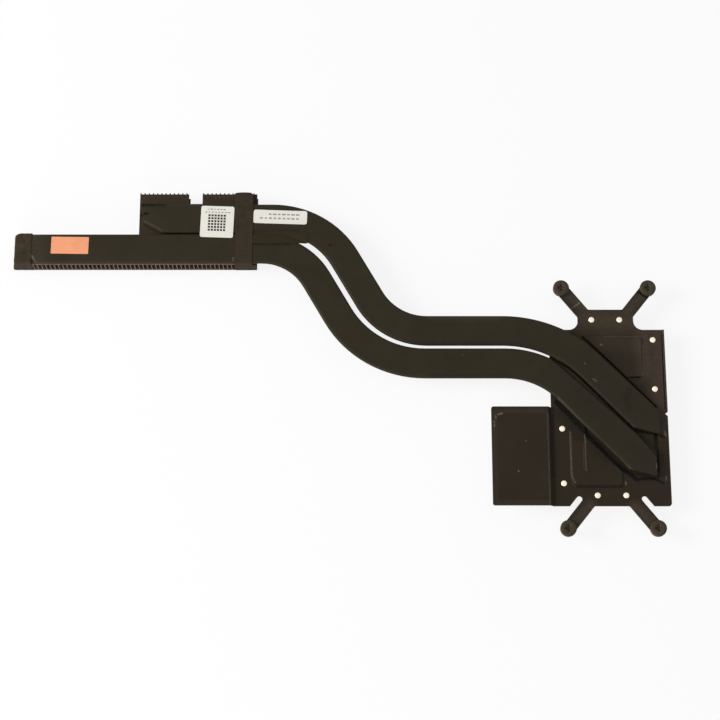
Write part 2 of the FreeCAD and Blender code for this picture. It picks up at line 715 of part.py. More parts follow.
def make_screw(index, x_sign, y_sign):
    """A captive screw that hangs through an arm's eye: low head, cross recess, thin neck and wider shank."""
    body = new_body(f"captive_screw_{index}")
    neck, shank, head = "screw_neck_diameter / 2", "screw_shank_diameter / 2", "screw_head_diameter / 2"
    tip = "(-screw_float - sheet_thickness - screw_reach)"
    shoulder = "(-2 * screw_float - sheet_thickness - retainer_thickness - screw_neck_play)"
    profile = new_sketch(body, f"screw_profile_{index}", "XZ_Plane")
    contour(profile, [
        ("0", tip, None),
        (f"{shank} - screw_tip_edge", tip, None),
        (shank, f"{tip} + screw_tip_edge", None),
        (shank, shoulder, None),
        (neck, shoulder, None),
        (neck, "0", None),
        (head, "0", None),
        (head, "screw_head_height - screw_head_edge", None),
        (f"{head} - screw_head_edge", "screw_head_height", None),
        ("0", "screw_head_height", None),
    ])
    revolve(body, profile, f"screw_turned_{index}")
    span, slot = "recess_span / 2", "recess_slot / 2"
    recess = new_sketch(body, f"screw_recess_{index}", along_normal="screw_head_height")
    contour(recess, [(x, y, None) for x, y in (
        (f"-{span}", f"-{slot}"), (f"-{slot}", f"-{slot}"), (f"-{slot}", f"-{span}"),
        (slot, f"-{span}"), (slot, f"-{slot}"), (span, f"-{slot}"),
        (span, slot), (slot, slot), (slot, span),
        (f"-{slot}", span), (f"-{slot}", slot), (f"-{span}", slot))])
    pocket(body, recess, f"screw_recess_cut_{index}", "recess_depth")
    place_body(body, x_sign, y_sign, f"{SHEET_TOP} + screw_float")


def make_retainer(index, x_sign, y_sign):
    """The ring on the neck, above the wider shank, that keeps a screw in its arm."""
    body = new_body(f"screw_retainer_{index}")
    ring = new_sketch(body, f"retainer_ring_{index}")
    circle(ring, "0", "0", "retainer_diameter")
    circle(ring, "0", "0", "screw_neck_diameter + 2 * retainer_clearance")
    pad(body, ring, f"retainer_pad_{index}", "retainer_thickness")
    place_body(body, x_sign, y_sign, f"{SHEET_FLOOR} - screw_float - retainer_thickness")


def make_end_cap():
    """Tape folded over the outer end of the fins and the lower pipe, open below; its end leans outwards."""
    body = new_body("end_cap_left")
    back = f"({FIN_FRONT} + {LONG_DEPTH})"
    floor, right = f"({FIN_FLOOR} + tape_hem)", f"({LONG_LEFT} + cap_width)"
    outer = new_sketch(body, "cap_outer", "XZ_Plane", f"-{back} - tape_thickness")
    contour(outer, [
        (f"{LONG_LEFT} - tape_thickness - cap_flare", floor, None),
        (right, floor, None),
        (right, f"{PIPE_TOP} + tape_thickness", None),
        (f"{LONG_LEFT} - tape_thickness", f"{PIPE_TOP} + tape_thickness", None),
    ])
    pad(body, outer, "cap_outer_pad", f"{LONG_DEPTH} + 2 * tape_thickness")
    inner = new_sketch(body, "cap_inner", "XZ_Plane", f"-{FIN_FRONT}")
    contour(inner, [
        (f"{LONG_LEFT} - cap_flare", f"{floor} - 1", None),
        (f"{right} + 1", f"{floor} - 1", None),
        (f"{right} + 1", PIPE_TOP, None),
        (LONG_LEFT, PIPE_TOP, None),
        (f"{LONG_LEFT} - cap_flare", floor, None),
    ])
    pocket(body, inner, "cap_inner_cut", LONG_DEPTH)


def make_end_band():
    """Foam tape over both pipes where they leave the fins, with a front flap and a thick back end."""
    body = new_body("end_band_right")
    outer = f"({PIPE_TOP} + tape_thickness)"
    back = f"({FIN_FRONT} + {DEEP_DEPTH} - band_back_margin)"
    step = f"({pipe_row(UPPER)} + pipe_width / 2 + band_back_gap)"
    left = f"({FINS_RIGHT} - band_place - band_width)"
    side = new_sketch(body, "band_side", "YZ_Plane", left)
    contour(side, [
        (f"{FIN_FRONT} - tape_thickness", f"{FIN_FLOOR} + tape_hem", None),
        (FIN_FRONT, f"{FIN_FLOOR} + tape_hem", None),
        (FIN_FRONT, PIPE_TOP, None),
        (step, PIPE_TOP, None),
        (step, SHEET_TOP, None),
        (back, SHEET_TOP, None),
        (back, outer, None),
        (f"{FIN_FRONT} - tape_thickness", outer, None),
    ])
    pad(body, side, "band_pad", "band_width")
    flap = new_sketch(body, "band_flap", "XZ_Plane", f"-{FIN_FRONT}")
    rectangle(flap, left, FINS_RIGHT, f"{FIN_FLOOR} + tape_hem", SHEET_TOP)
    pad(body, flap, "band_flap_pad", "tape_thickness")


def make_flat_piece(name, length, width, thickness, middle_x, middle_y, floor, turn):
    """A thin rectangle laid on a surface, turned clockwise about its own middle."""
    body = new_body(name)
    outline = new_sketch(body, f"{name}_outline")
    rectangle(outline, f"-{length} / 2", f"{length} / 2", f"-{width} / 2", f"{width} / 2")
    pad(body, outline, f"{name}_pad", thickness)
    bind(body, "Placement.Base.x", middle_x)
    bind(body, "Placement.Base.y", middle_y)
    bind(body, "Placement.Base.z", floor)
    bind(body, "Placement.Rotation.Angle", f"-{turn} * 1 deg")


def make_labels_and_pads():
    make_flat_piece("code_label", "code_label_side", "code_label_side", "label_thickness",
                    f"{FINS_RIGHT} - code_label_place", f"{pipe_row(UPPER)} - code_label_offset",
                    PIPE_TOP, "label_turn")
    make_flat_piece("strip_label", "strip_label_length", "strip_label_width", "label_thickness",
                    f"{FINS_RIGHT} + strip_label_place", f"{pipe_row(UPPER)} + strip_label_offset",
                    PIPE_TOP, "label_turn")
    make_flat_piece("copper_foil_pad", "foil_length", "foil_width", "label_thickness",
                    f"{LONG_LEFT} + foil_place", f"{pipe_row(LOWER)} + foil_offset", PIPE_TOP, "foil_turn")
    make_flat_piece("seam_tape", "seam_tape_length", "seam_tape_width", "label_thickness",
                    f"{FINS_RIGHT} - band_place + seam_tape_length / 2", f"{FIN_ROW} - seam_tape_offset",
                    PIPE_TOP, "0")
    make_flat_piece("wing_thermal_pad", "(wing_width - 2 * pad_margin)",
                    "(plate_bottom - wing_start - 2 * pad_margin)", "pad_thickness",
                    "-plate_left - wing_ramp - wing_width / 2", "-(plate_bottom + wing_start) / 2",
                    f"{SHEET_FLOOR} + wing_rise - pad_thickness", "0")


def write_parts():
    """Make sure that every object came out whole, then write one file for each piece."""
    doc.recompute()
    for item in doc.Objects:
        if {"Invalid", "Error"} & set(item.State):
            raise RuntimeError(f"{item.Label} failed: {item.State}")
    for part in PARTS:
        if part.Shape.isNull() or not part.Shape.isValid():
            raise RuntimeError(f"{part.Label} has no valid shape")
    os.makedirs("parts", exist_ok=True)
    for part in PARTS:
        part.Shape.exportStep(f"parts/{part.Label}.step")


make_base_plate()
make_cold_plate()
make_rivets()
make_heat_pipe("heat_pipe_upper", UPPER, DEEP_LEFT, "upper_tip")
make_heat_pipe("heat_pipe_lower", LOWER, LONG_LEFT, "lower_tip")
make_fins()
make_end_cap()
make_end_band()
make_labels_and_pads()
for quarter, (quarter_x, quarter_y) in enumerate(QUARTERS, start=1):
    make_screw(quarter, quarter_x, quarter_y)
    make_retainer(quarter, quarter_x, quarter_y)
write_parts()
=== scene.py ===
import math

import bmesh
import bpy
from bpy.props import FloatProperty, FloatVectorProperty, IntProperty, PointerProperty
from mathutils import Matrix, Vector, noise


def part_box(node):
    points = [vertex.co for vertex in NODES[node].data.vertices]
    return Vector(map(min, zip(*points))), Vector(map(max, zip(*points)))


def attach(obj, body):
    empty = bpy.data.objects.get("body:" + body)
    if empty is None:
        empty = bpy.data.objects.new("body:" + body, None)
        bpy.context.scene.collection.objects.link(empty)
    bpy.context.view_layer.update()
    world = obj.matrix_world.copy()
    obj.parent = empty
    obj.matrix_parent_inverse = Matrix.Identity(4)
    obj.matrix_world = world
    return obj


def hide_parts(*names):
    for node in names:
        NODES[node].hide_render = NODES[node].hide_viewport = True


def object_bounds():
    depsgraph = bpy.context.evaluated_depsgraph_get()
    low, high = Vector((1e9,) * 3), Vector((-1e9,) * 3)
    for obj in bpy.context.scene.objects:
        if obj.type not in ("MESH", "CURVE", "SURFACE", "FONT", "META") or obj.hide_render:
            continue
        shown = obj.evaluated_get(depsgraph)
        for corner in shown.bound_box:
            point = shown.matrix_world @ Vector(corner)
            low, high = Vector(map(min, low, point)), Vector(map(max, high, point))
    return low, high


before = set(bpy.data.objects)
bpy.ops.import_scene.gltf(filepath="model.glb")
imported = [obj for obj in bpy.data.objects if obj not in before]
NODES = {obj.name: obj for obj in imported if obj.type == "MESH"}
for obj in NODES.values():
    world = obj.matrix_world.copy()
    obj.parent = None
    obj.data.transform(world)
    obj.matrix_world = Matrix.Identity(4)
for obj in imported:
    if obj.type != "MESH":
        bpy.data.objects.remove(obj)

bl_info = {
    "name": "Laptop heatsink finish",
    "version": (1, 0, 0),
    "blender": (4, 5, 0),
    "location": "View3D > Sidebar > Heatsink",
    "description": "Dresses the packed heatsink: coated metal, tapes, labels, screws, rivets and a stage",
    "category": "Object",
}

CAD_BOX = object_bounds()
MM = 0.001
SCREWS = range(1, 5)

# colour sockets of a Mix node
MIX_A, MIX_B, MIX_RESULT = 6, 7, 2
# rays that find how near a sharp edge is
EDGE_SAMPLES = 6
# the range that holds most of a noise texture's values
NOISE_LOW, NOISE_HIGH = 0.3, 0.7
# size, in millimetres, and drift in tone of the clouds in the black coat
COAT_CLOUD, COAT_DRIFT = 9.0, 0.10
# straight steps in a rounded corner
BEND_STEPS = 4

# Marks in the black coat, scratches and painted light and shade alike: a colour's name, its strength, how far it
# is broken into flecks, from 0 to 1, and its strokes, each from x, y to x, y with a width, in millimetres.

# painted shadow beside the lower pipe and under both pipes' tips
SEAM_SHADOW = [
    (-17.7, 1.4, 1.3, -19.5, 1.2), (1.3, -19.4, 8.6, -25.4, 1.2), (8.6, -25.2, 14.7, -25.0, 0.8),
    (14.7, -25.2, 17.2, -26.6, 0.6), (5.0, -5.7, 8.6, -8.6, 0.6), (8.6, -8.6, 15.4, -9.4, 0.7),
    (15.4, -9.4, 18.2, -10.8, 0.6),
]
SHEET_MARKS = [
    # painted sheen, lighter along the right edge, on the neck, the arms and the upper field
    ("fin_edge", 0.13, 0.3, [
        (17.6, 27.0, 17.6, -6.0, 7.0), (-6.0, 31.5, 8.0, 30.0, 7.0), (13.0, 27.0, 14.0, 12.0, 6.0),
        (7.3, 33.6, 13.9, 40.9, 3.5), (-6.9, 34.6, -14.0, 41.5, 3.5), (-7.4, -34.6, -13.4, -40.8, 3.5),
        (7.6, -34.6, 13.8, -40.8, 3.5)]),
    ("fin_edge", 0.05, 0.3, [(-1.0, 23.5, 10.0, 22.0, 6.0)]),
    # the wing's rim
    ("scuff", 0.06, 0.2, [
        (-39.0, -2.5, -39.0, -33.0, 1.2), (-38.5, -33.5, -21.5, -33.5, 1.2),
        (-38.5, -2.0, -21.5, -2.0, 1.0)]),
    # painted shade: a strip beside the lower pipe, shadow by a screw head, under the upper field, inside the edge
    # lip and along the seams, then at the lower field's foot and on the inner side of the wing's fold
    ("crease", 0.35, 0.2, [(-15.0, -3.0, -1.0, -18.0, 5.0)]),
    ("crease", 1.0, 0.3, [
        (11.4, 41.0, 14.5, 39.0, 0.6), (8.1, 10.2, 11.3, 10.2, 0.35), (19.15, 25.5, 19.15, -1.0, 0.3),
        *SEAM_SHADOW]),
    ("crease", 0.6, 0.3, [(-11.5, -27.7, 3.5, -27.7, 0.6), (-19.2, -3.2, -19.3, -24.0, 0.7)]),
    ("crease", 0.35, 0.3, [(-19.3, -24.0, -19.3, -33.8, 0.7)]),
    # painted highlights on the crests of the fold, the raised fields and the bead
    ("scuff", 0.24, 0.5, [(-20.9, -3.0, -20.9, -34.0, 0.5), (-0.7, 24.7, 11.6, 24.7, 0.35)]),
    ("scuff", 0.5, 0.5, [
        (-13.4, -9.0, -13.4, -24.0, 0.45), (-13.4, -24.0, -12.4, -26.5, 0.45),
        (-8.4, -10.0, -8.4, -22.2, 0.45), (12.5, 21.5, 12.3, 12.0, 0.4)]),
    # scratches
    ("scuff", 0.9, 0.9, [
        (-11.4, 34.9, -8.7, 37.0, 0.4), (-38.7, -3.3, -36.4, -2.8, 0.45), (-38.6, -3.4, -38.5, -4.6, 0.3),
        (-39.1, -5.4, -39.1, -7.4, 0.35), (-28.6, -12.3, -28.4, -12.6, 0.3),
        (-31.4, -22.6, -31.2, -22.9, 0.3), (18.6, -8.8, 18.9, -10.0, 0.45), (18.3, -24.2, 18.4, -25.6, 0.4),
        (4.7, -26.2, 4.9, -27.1, 0.4), (12.0, 11.0, 12.3, 11.8, 0.4), (-1.9, 21.8, -1.5, 21.4, 0.4)]),
]
PIPE_MARKS = {
    "upper": [
        # painted shadow along the back edge at the pipe's outer end and a nick there, painted shade along its
        # edge beside the window, then the painted shade of soft dents near its tip
        ("crease", 1.0, 0.3, [
            (-160.0, 72.2, -153.0, 72.4, 0.8), (-160.2, 69.0, -158.6, 69.0, 0.6), (-5.6, 20.9, 16.6, -0.8, 0.6)]),
        ("crease", 0.3, 0.2, [(6.8, 5.2, 5.9, 2.0, 1.3), (5.9, 2.0, 6.5, -1.5, 1.3)]),
        # painted shadow along the edge of the tape over the seam
        ("crease", 0.25, 0.6, [(-121.7, 62.7, -106.0, 62.5, 0.8)]),
        # painted shade on the front shoulder and a painted highlight on the back shoulder of the straight run,
        # and a speck in the bend
        ("crease", 0.3, 0.2, [
            (-76.0, 22.0, -72.0, 21.6, 1.3), (-72.0, 21.6, -33.0, 21.5, 1.3), (-33.0, 21.5, -26.3, 20.2, 1.3),
            (-26.3, 20.2, -21.3, 18.5, 1.3)]),
        ("scuff", 0.1, 0.2, [(-60.0, 31.6, -37.0, 31.5, 2.8)]),
        ("crease", 0.8, 0.0, [(-95.1, 57.4, -94.7, 57.3, 0.55)]),
        # greyer coat with painted shade over the plate, painted highlights on the shoulder and chamfer, scratches
        ("ring", 0.35, 0.0, [(-6.0, 14.0, 12.0, -3.0, 9.0)]),
        ("scuff", 0.22, 0.4, [(-17.5, 16.2, 4.8, -5.3, 0.6), (-159.6, 66.2, -153.6, 62.9, 0.5)]),
        ("scuff", 0.7, 0.9, [(-5.2, 9.0, -4.0, 8.4, 0.5), (-8.0, 14.8, -7.6, 14.4, 0.3)]),
    ],
    "lower": [
        # painted shade along the tip's edge and the seam to the upper pipe, then painted shadow along the edge of
        # the tape over the seam
        ("crease", 1.0, 0.3, [(9.0, -9.8, 15.5, -18.0, 0.4), (-18.6, 16.0, 7.3, -8.2, 0.7)]),
        ("crease", 0.7, 0.6, [(-121.7, 57.8, -109.0, 57.8, 0.8)]),
        # worn outer end, a speck and painted shade on the front shoulder of the straight run
        ("scuff", 0.1, 0.5, [(-197.0, 52.0, -197.0, 61.0, 6.0)]),
        ("scuff", 0.12, 0.0, [(-49.6, 17.9, -49.4, 17.4, 0.4)]),
        ("crease", 0.2, 0.2, [
            (-60.0, 10.0, -36.0, 10.0, 1.0), (-36.0, 10.0, -26.6, 8.3, 1.0), (-26.6, 8.3, -21.3, 5.1, 1.0)]),
        # greyer coat with painted shade over the plate, a painted highlight on the shoulder, scratches at both
        # ends and beside the band
        ("ring", 0.35, 0.0, [(-12.0, 6.0, 11.0, -18.0, 9.0)]),
        ("scuff", 0.22, 0.4, [(-17.2, 2.4, 1.9, -18.7, 0.6), (1.9, -18.7, 6.0, -22.1, 0.6)]),
        ("scuff", 0.7, 0.7, [
            (15.2, -20.3, 15.1, -21.9, 0.45), (-198.3, 61.2, -196.6, 61.2, 0.35),
            (-198.2, 53.4, -197.2, 51.6, 0.4), (-128.5, 51.7, -128.5, 52.6, 0.4)]),
    ],
}
FIN_MARKS = [
    # painted shadow beside the upper pipe's outer end and a nick, then rubbed front edges and corners, with
    # painted light in the shaded corner beside the cap
    ("crease", 1.0, 0.3, [(-160.6, 72.9, -153.0, 72.7, 0.8), (-161.4, 69.0, -160.0, 69.0, 0.6)]),
    ("fin_edge", 1.0, 0.4, [
        (-199.6, 53.0, -197.4, 51.2, 1.1), (-128.6, 51.6, -128.5, 52.4, 0.4),
        (-197.9, 61.4, -196.6, 61.4, 0.35), (-204.0, 50.7, -128.2, 50.7, 2.4)]),
]


def linear(hex_colour):
    """An sRGB hex value as linear RGBA."""
    channels = [int(hex_colour[i:i + 2], 16) / 255 for i in (1, 3, 5)]
    return (*(c / 12.92 if c <= 0.04045 else ((c + 0.055) / 1.055) ** 2.4 for c in channels), 1.0)


def colour_property(name, hex_colour, description):
    return FloatVectorProperty(name=name, description=description, subtype="COLOR", size=4, min=0, max=1,
                               default=linear(hex_colour))


def length_property(name, millimetres, description):
    return FloatProperty(name=name, description=description, unit="LENGTH", precision=5,
                         default=millimetres * MM)


class HeatsinkColours(bpy.types.PropertyGroup):
    sheet: colour_property("Base sheet", "#2c251b", "Black coat on the stamped sheet")
    pipe: colour_property("Heat pipes", "#2f291d", "Black coat on the pipes, a little greener than the sheet")
    fin: colour_property("Fins", "#372e22", "Black coat on the folded fins")
    # also the fins' painted edge highlight, the painted sheen on the sheet and painted light in the fins' corner
    # by the cap
    fin_edge: colour_property("Fin edges", "#8f7d6d", "Cut edges of the fins, rubbed to a pale brown")
    # also the painted highlights on crests, shoulders, the chamfer and edges, besides real scratches
    scuff: colour_property("Scuffs", "#6d665a", "Where the coat is rubbed thin")
    # also the painted shade and shadow along seams, pipe edges, steps and the wing's fold, besides a few nicks
    crease: colour_property("Creases", "#060504", "Where the metal is pressed in and holds dirt")
    tape: colour_property("Cloth tape", "#3a3024", "Matte black tape over the outer end")
    foam: colour_property("Foam tape", "#362e23", "Matte black foam band")
    film: colour_property("Film tape", "#2f281a", "Thin black tape over the seam of the pipes")
    copper: colour_property("Copper foil", "#e49c74", "Bare rolled copper")
    plate_copper: colour_property("Plate copper", "#d98a5e", "Milled copper that meets the processor")
    rivet: colour_property("Rivets", "#fff5dd", "Bright aluminium")
    screw: colour_property("Screws", "#433b2d", "Black oxide on steel")
    # also greys the pipes over the plate and darkens them as painted shade
    ring: colour_property("Retaining rings", "#24211c", "Black nylon")
    paper: colour_property("Labels", "#efece2", "White label film")
    ink: colour_property("Ink", "#3f3c36", "Printed marks on the labels")
    pale_ink: colour_property("Pale ink", "#9b988f", "Thin printed rows on the labels")
    pad: colour_property("Thermal pad", "#8b9096", "Grey silicone")


class HeatsinkSizes(bpy.types.PropertyGroup):
    label_corner: length_property("Label corner", 0.7, "Radius of the labels' corners")
    label_curl: length_property("Label curl", 0.05, "How far a label's corners lift")
    foil_ripple: length_property("Foil ripple", 0.05, "Height of the ripples in the copper foil")
    tape_edge: length_property("Tape edge", 0.45, "How softly the tape turns round an edge")
    tape_crinkle: length_property("Tape crinkle", 0.14, "Depth of the creases in the tape")
    corner_tuck: length_property("Corner tuck", 0.75, "How far the cap's outer back corner is pushed in")
    band_bulge: length_property("Band bulge", 0.25, "How far the foam band's back end swells in its middle")
    seam_sag: length_property("Seam sag", 0.3, "How far the tape over the seam sinks between the pipes")
    pad_edge: length_property("Pad edge", 0.35, "Radius of the thermal pad's edges")
    rivet_head: length_property("Rivet head", 2.0, "Diameter of a rivet's head")
    rivet_dome: length_property("Rivet dome", 0.3, "Height of a rivet's head")
    thread_pitch: length_property("Thread pitch", 0.4, "Pitch of the captive screws' thread")
    thread_depth: length_property("Thread depth", 0.2, "Depth of the captive screws' thread")
    block_cells: IntProperty(name="Block cells", description="Cells along the printed block", default=6, min=2)


class HeatsinkStage(bpy.types.PropertyGroup):
    tilt: FloatProperty(name="Camera tilt", description="Angle from straight down", subtype="ANGLE",
                        default=math.radians(16))
    distance: length_property("Camera distance", 626.3, "From the lens to the point it looks at")
    target: FloatVectorProperty(name="Camera target", description="The point the camera looks at", size=3,
                                subtype="TRANSLATION", precision=5,
                                default=(-84.508 * MM, 15.909 * MM, 4.0 * MM))
    lens: FloatProperty(name="Lens", description="Focal length on a 36 mm sensor", default=91.75, min=1)
    fill: FloatProperty(name="Fill", description="Strength of the light from all round", default=0.45, min=0)
    key: FloatProperty(name="Key", description="Power of the large soft lamp", default=6.2, min=0)
    key_offset: FloatVectorProperty(name="Key place", description="From the object's middle to the lamp",
                                    size=3, subtype="TRANSLATION", default=(-0.8, 0.05, 0.5))
    front: FloatProperty(name="Front", description="Power of the low soft lamp before the object",
                         default=1.5, min=0)
    front_offset: FloatVectorProperty(name="Front place", size=3, subtype="TRANSLATION",
                                      description="From the object's middle to the low lamp",
                                      default=(-0.25, -0.55, 0.16))
    lamp_size: length_property("Lamp size", 400.0, "Side of each lamp")
    floor: colour_property("Floor", "#ffffff", "Plain pale floor and background")


GROUPS = {"heatsink_colours": HeatsinkColours, "heatsink_sizes": HeatsinkSizes, "heatsink_stage": HeatsinkStage}


def per_metre(millimetres):
    """Texture scale that gives features of about this size in object space."""
    return 1 / (millimetres * MM)


def wave_scale(millimetres):
    """Wave texture scale whose lines stand this far apart; at a scale of 1 it is pi / 10."""
    return math.pi / 10 * per_metre(millimetres)


def add_node(tree, kind, values=None, links=None):
    """Add a node, set its own fields and its inputs, and link its inputs to other nodes' outputs.

    A link that is a node stands for that node's first output.
    """
    node = tree.nodes.new(kind)
    for key, value in (values or {}).items():
        if isinstance(key, str) and hasattr(node, key):
            setattr(node, key, value)
        else:
            node.inputs[key].default_value = value
    for key, source in (links or {}).items():
        tree.links.new(source.outputs[0] if isinstance(source, bpy.types.Node) else source, node.inputs[key])
    return node


def empty_tree(owner):
    """The cleared node tree of a new material or world."""
    owner.use_nodes = True
    owner.node_tree.nodes.clear()
    return owner.node_tree


def new_material(name):
    """A material, its empty tree, and the object coordinates that its patterns read."""
    material = bpy.data.materials.new(name)
    tree = empty_tree(material)
    return material, tree, add_node(tree, "ShaderNodeTexCoord").outputs["Object"]


def close_material(tree, values, links):
    """End a material in its shader."""
    shader = add_node(tree, "ShaderNodeBsdfPrincipled", values, links)
    add_node(tree, "ShaderNodeOutputMaterial", links={"Surface": shader})


def mottled(tree, place, colour, size, spread):
    """A colour that drifts lighter and darker over patches of a size in millimetres, and the drift."""
    cloud = add_node(tree, "ShaderNodeTexNoise", {"Scale": per_metre(size), "Detail": 4.0, "Roughness": 0.6},
                     {"Vector": place})
    level = add_node(tree, "ShaderNodeMapRange",
                     {"From Min": NOISE_LOW, "From Max": NOISE_HIGH, "To Min": 1 - spread, "To Max": 1 + spread},
                     {"Value": cloud})
    return add_node(tree, "ShaderNodeHueSaturation", {"Color": colour}, {"Value": level}), cloud


def grain(tree, place, size, strength, height, edge=0.0):
    """A fine raised grain of a size and height in millimetres, over edges rounded by a radius."""
    fine = add_node(tree, "ShaderNodeTexNoise", {"Scale": per_metre(size), "Detail": 3.0}, {"Vector": place})
    links = {"Height": fine}
    if edge:
        links["Normal"] = add_node(tree, "ShaderNodeBevel", {"samples": EDGE_SAMPLES, "Radius": edge * MM})
    return add_node(tree, "ShaderNodeBump", {"Strength": strength, "Distance": height * MM}, links)


def edge_mask(tree, radius):
    """One on edges, which are rubbed pale and given a painted highlight, nought on open faces, by the cosine
    between the rounded and the true normal.
    """
    soft = add_node(tree, "ShaderNodeBevel", {"samples": EDGE_SAMPLES, "Radius": radius * MM})
    face = add_node(tree, "ShaderNodeNewGeometry")
    match = add_node(tree, "ShaderNodeVectorMath", {"operation": "DOT_PRODUCT"},
                     {0: soft, 1: face.outputs["Normal"]})
    return add_node(tree, "ShaderNodeMapRange", {"From Min": 0.98, "From Max": 0.75},
                    {"Value": match.outputs["Value"]})


def stroke_mask(tree, place, x0, y0, x1, y1, width):
    """One along a straight mark over the XY plane, fading over its width, in millimetres."""
    first, last = Vector((x0, y0, 0)) * MM, Vector((x1, y1, 0)) * MM
    along = (last - first).normalized()
    flat = add_node(tree, "ShaderNodeVectorMath", {"operation": "MULTIPLY", 1: (1, 1, 0)}, {0: place})
    offset = add_node(tree, "ShaderNodeVectorMath", {"operation": "SUBTRACT", 1: first}, {0: flat})
    run = add_node(tree, "ShaderNodeVectorMath", {"operation": "DOT_PRODUCT", 1: along}, {0: offset})
    held = add_node(tree, "ShaderNodeClamp", {"Min": 0.0, "Max": (last - first).length},
                    {"Value": run.outputs["Value"]})
    foot = add_node(tree, "ShaderNodeVectorMath", {"operation": "SCALE", 0: along}, {"Scale": held})
    gap = add_node(tree, "ShaderNodeVectorMath", {"operation": "DISTANCE"}, {0: offset, 1: foot})
    # a narrow mark has a core at full strength, one of 2 mm or more fades from its middle
    core = 0.4 * width if width < 2 else 0.0
    return add_node(tree, "ShaderNodeMapRange",
                    {"interpolation_type": "SMOOTHSTEP", "From Min": width * MM, "From Max": core * MM},
                    {"Value": gap.outputs["Value"]})


def paint_strokes(tree, place, base, colour, strength, broken, strokes):
    """Lay marks of one colour over a base colour, on faces that don't point down."""
    # flecks of 0.9 mm
    fleck = add_node(tree, "ShaderNodeTexNoise", {"Scale": per_metre(0.9), "Detail": 2.0}, {"Vector": place})
    patchy = add_node(tree, "ShaderNodeMapRange",
                      {"From Min": 0.35, "From Max": 0.6, "To Min": strength * (1 - broken), "To Max": strength},
                      {"Value": fleck})
    total, *others = [stroke_mask(tree, place, *stroke) for stroke in strokes]
    for mask in others:
        total = add_node(tree, "ShaderNodeMath", {"operation": "MAXIMUM"}, {0: total, 1: mask})
    facing = add_node(tree, "ShaderNodeSeparateXYZ",
                      links={"Vector": add_node(tree, "ShaderNodeTexCoord").outputs["Normal"]})
    upward = add_node(tree, "ShaderNodeMapRange", {"From Min": -0.5, "From Max": -0.2},
                      {"Value": facing.outputs["Z"]})
    seen = add_node(tree, "ShaderNodeMath", {"operation": "MULTIPLY"}, {0: total, 1: upward})
    amount = add_node(tree, "ShaderNodeMath", {"operation": "MULTIPLY"}, {0: seen, 1: patchy})
    mix = add_node(tree, "ShaderNodeMix", {"data_type": "RGBA", MIX_B: colour}, {0: amount, MIX_A: base})
    return mix.outputs[MIX_RESULT]


def black_skin(name, colour, rough, wear, edge, marks=(), edge_tone="scuff"):
    """A matte black skin: drifting in tone, rubbed pale along its edges with a painted highlight, marked with
    wear and with painted light and shade.

    The edge is the radius, in millimetres, by which sharp edges look rounded.
    """
    colours = bpy.context.scene.heatsink_colours
    material, tree, place = new_material(name)
    tone, cloud = mottled(tree, place, getattr(colours, colour), COAT_CLOUD, COAT_DRIFT)
    # edges lightened towards the edge tone: rubbed coat and a painted highlight
    if wear:
        rubbed = add_node(tree, "ShaderNodeMath", {"operation": "MULTIPLY", 1: wear}, {0: edge_mask(tree, edge)})
        mix = add_node(tree, "ShaderNodeMix", {"data_type": "RGBA", MIX_B: getattr(colours, edge_tone)},
                       {0: rubbed, MIX_A: tone})
        tone = mix.outputs[MIX_RESULT]
    # marks: scratches and nicks, and painted shade, shadow, sheen and highlights
    for mark, *how in marks:
        tone = paint_strokes(tree, place, tone, getattr(colours, mark), *how)
    sheen = add_node(tree, "ShaderNodeMapRange", {"To Min": rough - 0.07, "To Max": rough + 0.07},
                     {"Value": cloud})
    # orange peel of about 0.35 mm
    peel = grain(tree, place, 0.35, 0.25, 0.02, edge)
    close_material(tree, {"Specular IOR Level": 0.1}, {"Base Color": tone, "Roughness": sheen, "Normal": peel})
    return material


def dress(node, material):
    """Give a CAD node its finish."""
    slots = NODES[node].data.materials
    slots.clear()
    slots.append(material)


def new_piece(name, mesh, body, slot, *replaced):
    """Put a finished mesh into the scene as a piece that rides on a body and stands for CAD nodes."""
    piece = bpy.data.objects.new(name, mesh)
    bpy.context.scene.collection.objects.link(piece)
    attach(piece, body)
    if replaced:
        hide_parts(*replaced)
    return piece


def new_tree(name, **inputs):
    """A geometry node tree with a geometry input and named value inputs."""
    tree = bpy.data.node_groups.new(name, "GeometryNodeTree")
    tree.interface.new_socket("Geometry", in_out="INPUT", socket_type="NodeSocketGeometry")
    for key, kind in inputs.items():
        tree.interface.new_socket(key.replace("_", " "), in_out="INPUT", socket_type=f"NodeSocket{kind}")
    tree.interface.new_socket("Material", in_out="INPUT", socket_type="NodeSocketMaterial")
    tree.interface.new_socket("Geometry", in_out="OUTPUT", socket_type="NodeSocketGeometry")
    return tree, add_node(tree, "NodeGroupInput").outputs


def close_tree(tree, given, geometry):
    """End a tree in realised instances with the material that it is given."""
    real = add_node(tree, "GeometryNodeRealizeInstances", links={"Geometry": geometry})
    painted = add_node(tree, "GeometryNodeSetMaterial", links={"Geometry": real, "Material": given["Material"]})
    add_node(tree, "NodeGroupOutput", links={"Geometry": painted})


def grow(tree, name, points, **inputs):
    """Run a geometry node tree on a mesh of loose points and return the result as a plain mesh."""
    seed = bpy.data.meshes.new(f"{name}_points")
    seed.from_pydata(points, [], [])
    holder = bpy.data.objects.new(f"{name}_points", seed)
    bpy.context.scene.collection.objects.link(holder)
    modifier = holder.modifiers.new(name, "NODES")
    modifier.node_group = tree
    identifiers = {item.name: item.identifier for item in tree.interface.items_tree if item.in_out == "INPUT"}
    for key, value in inputs.items():
        modifier[identifiers[key.replace("_", " ")]] = value
    evaluated = holder.evaluated_get(bpy.context.evaluated_depsgraph_get())
    result = bpy.data.meshes.new_from_object(evaluated)
    result.name = name
    holder.modifiers.remove(modifier)
    bpy.data.objects.remove(holder)
    return result


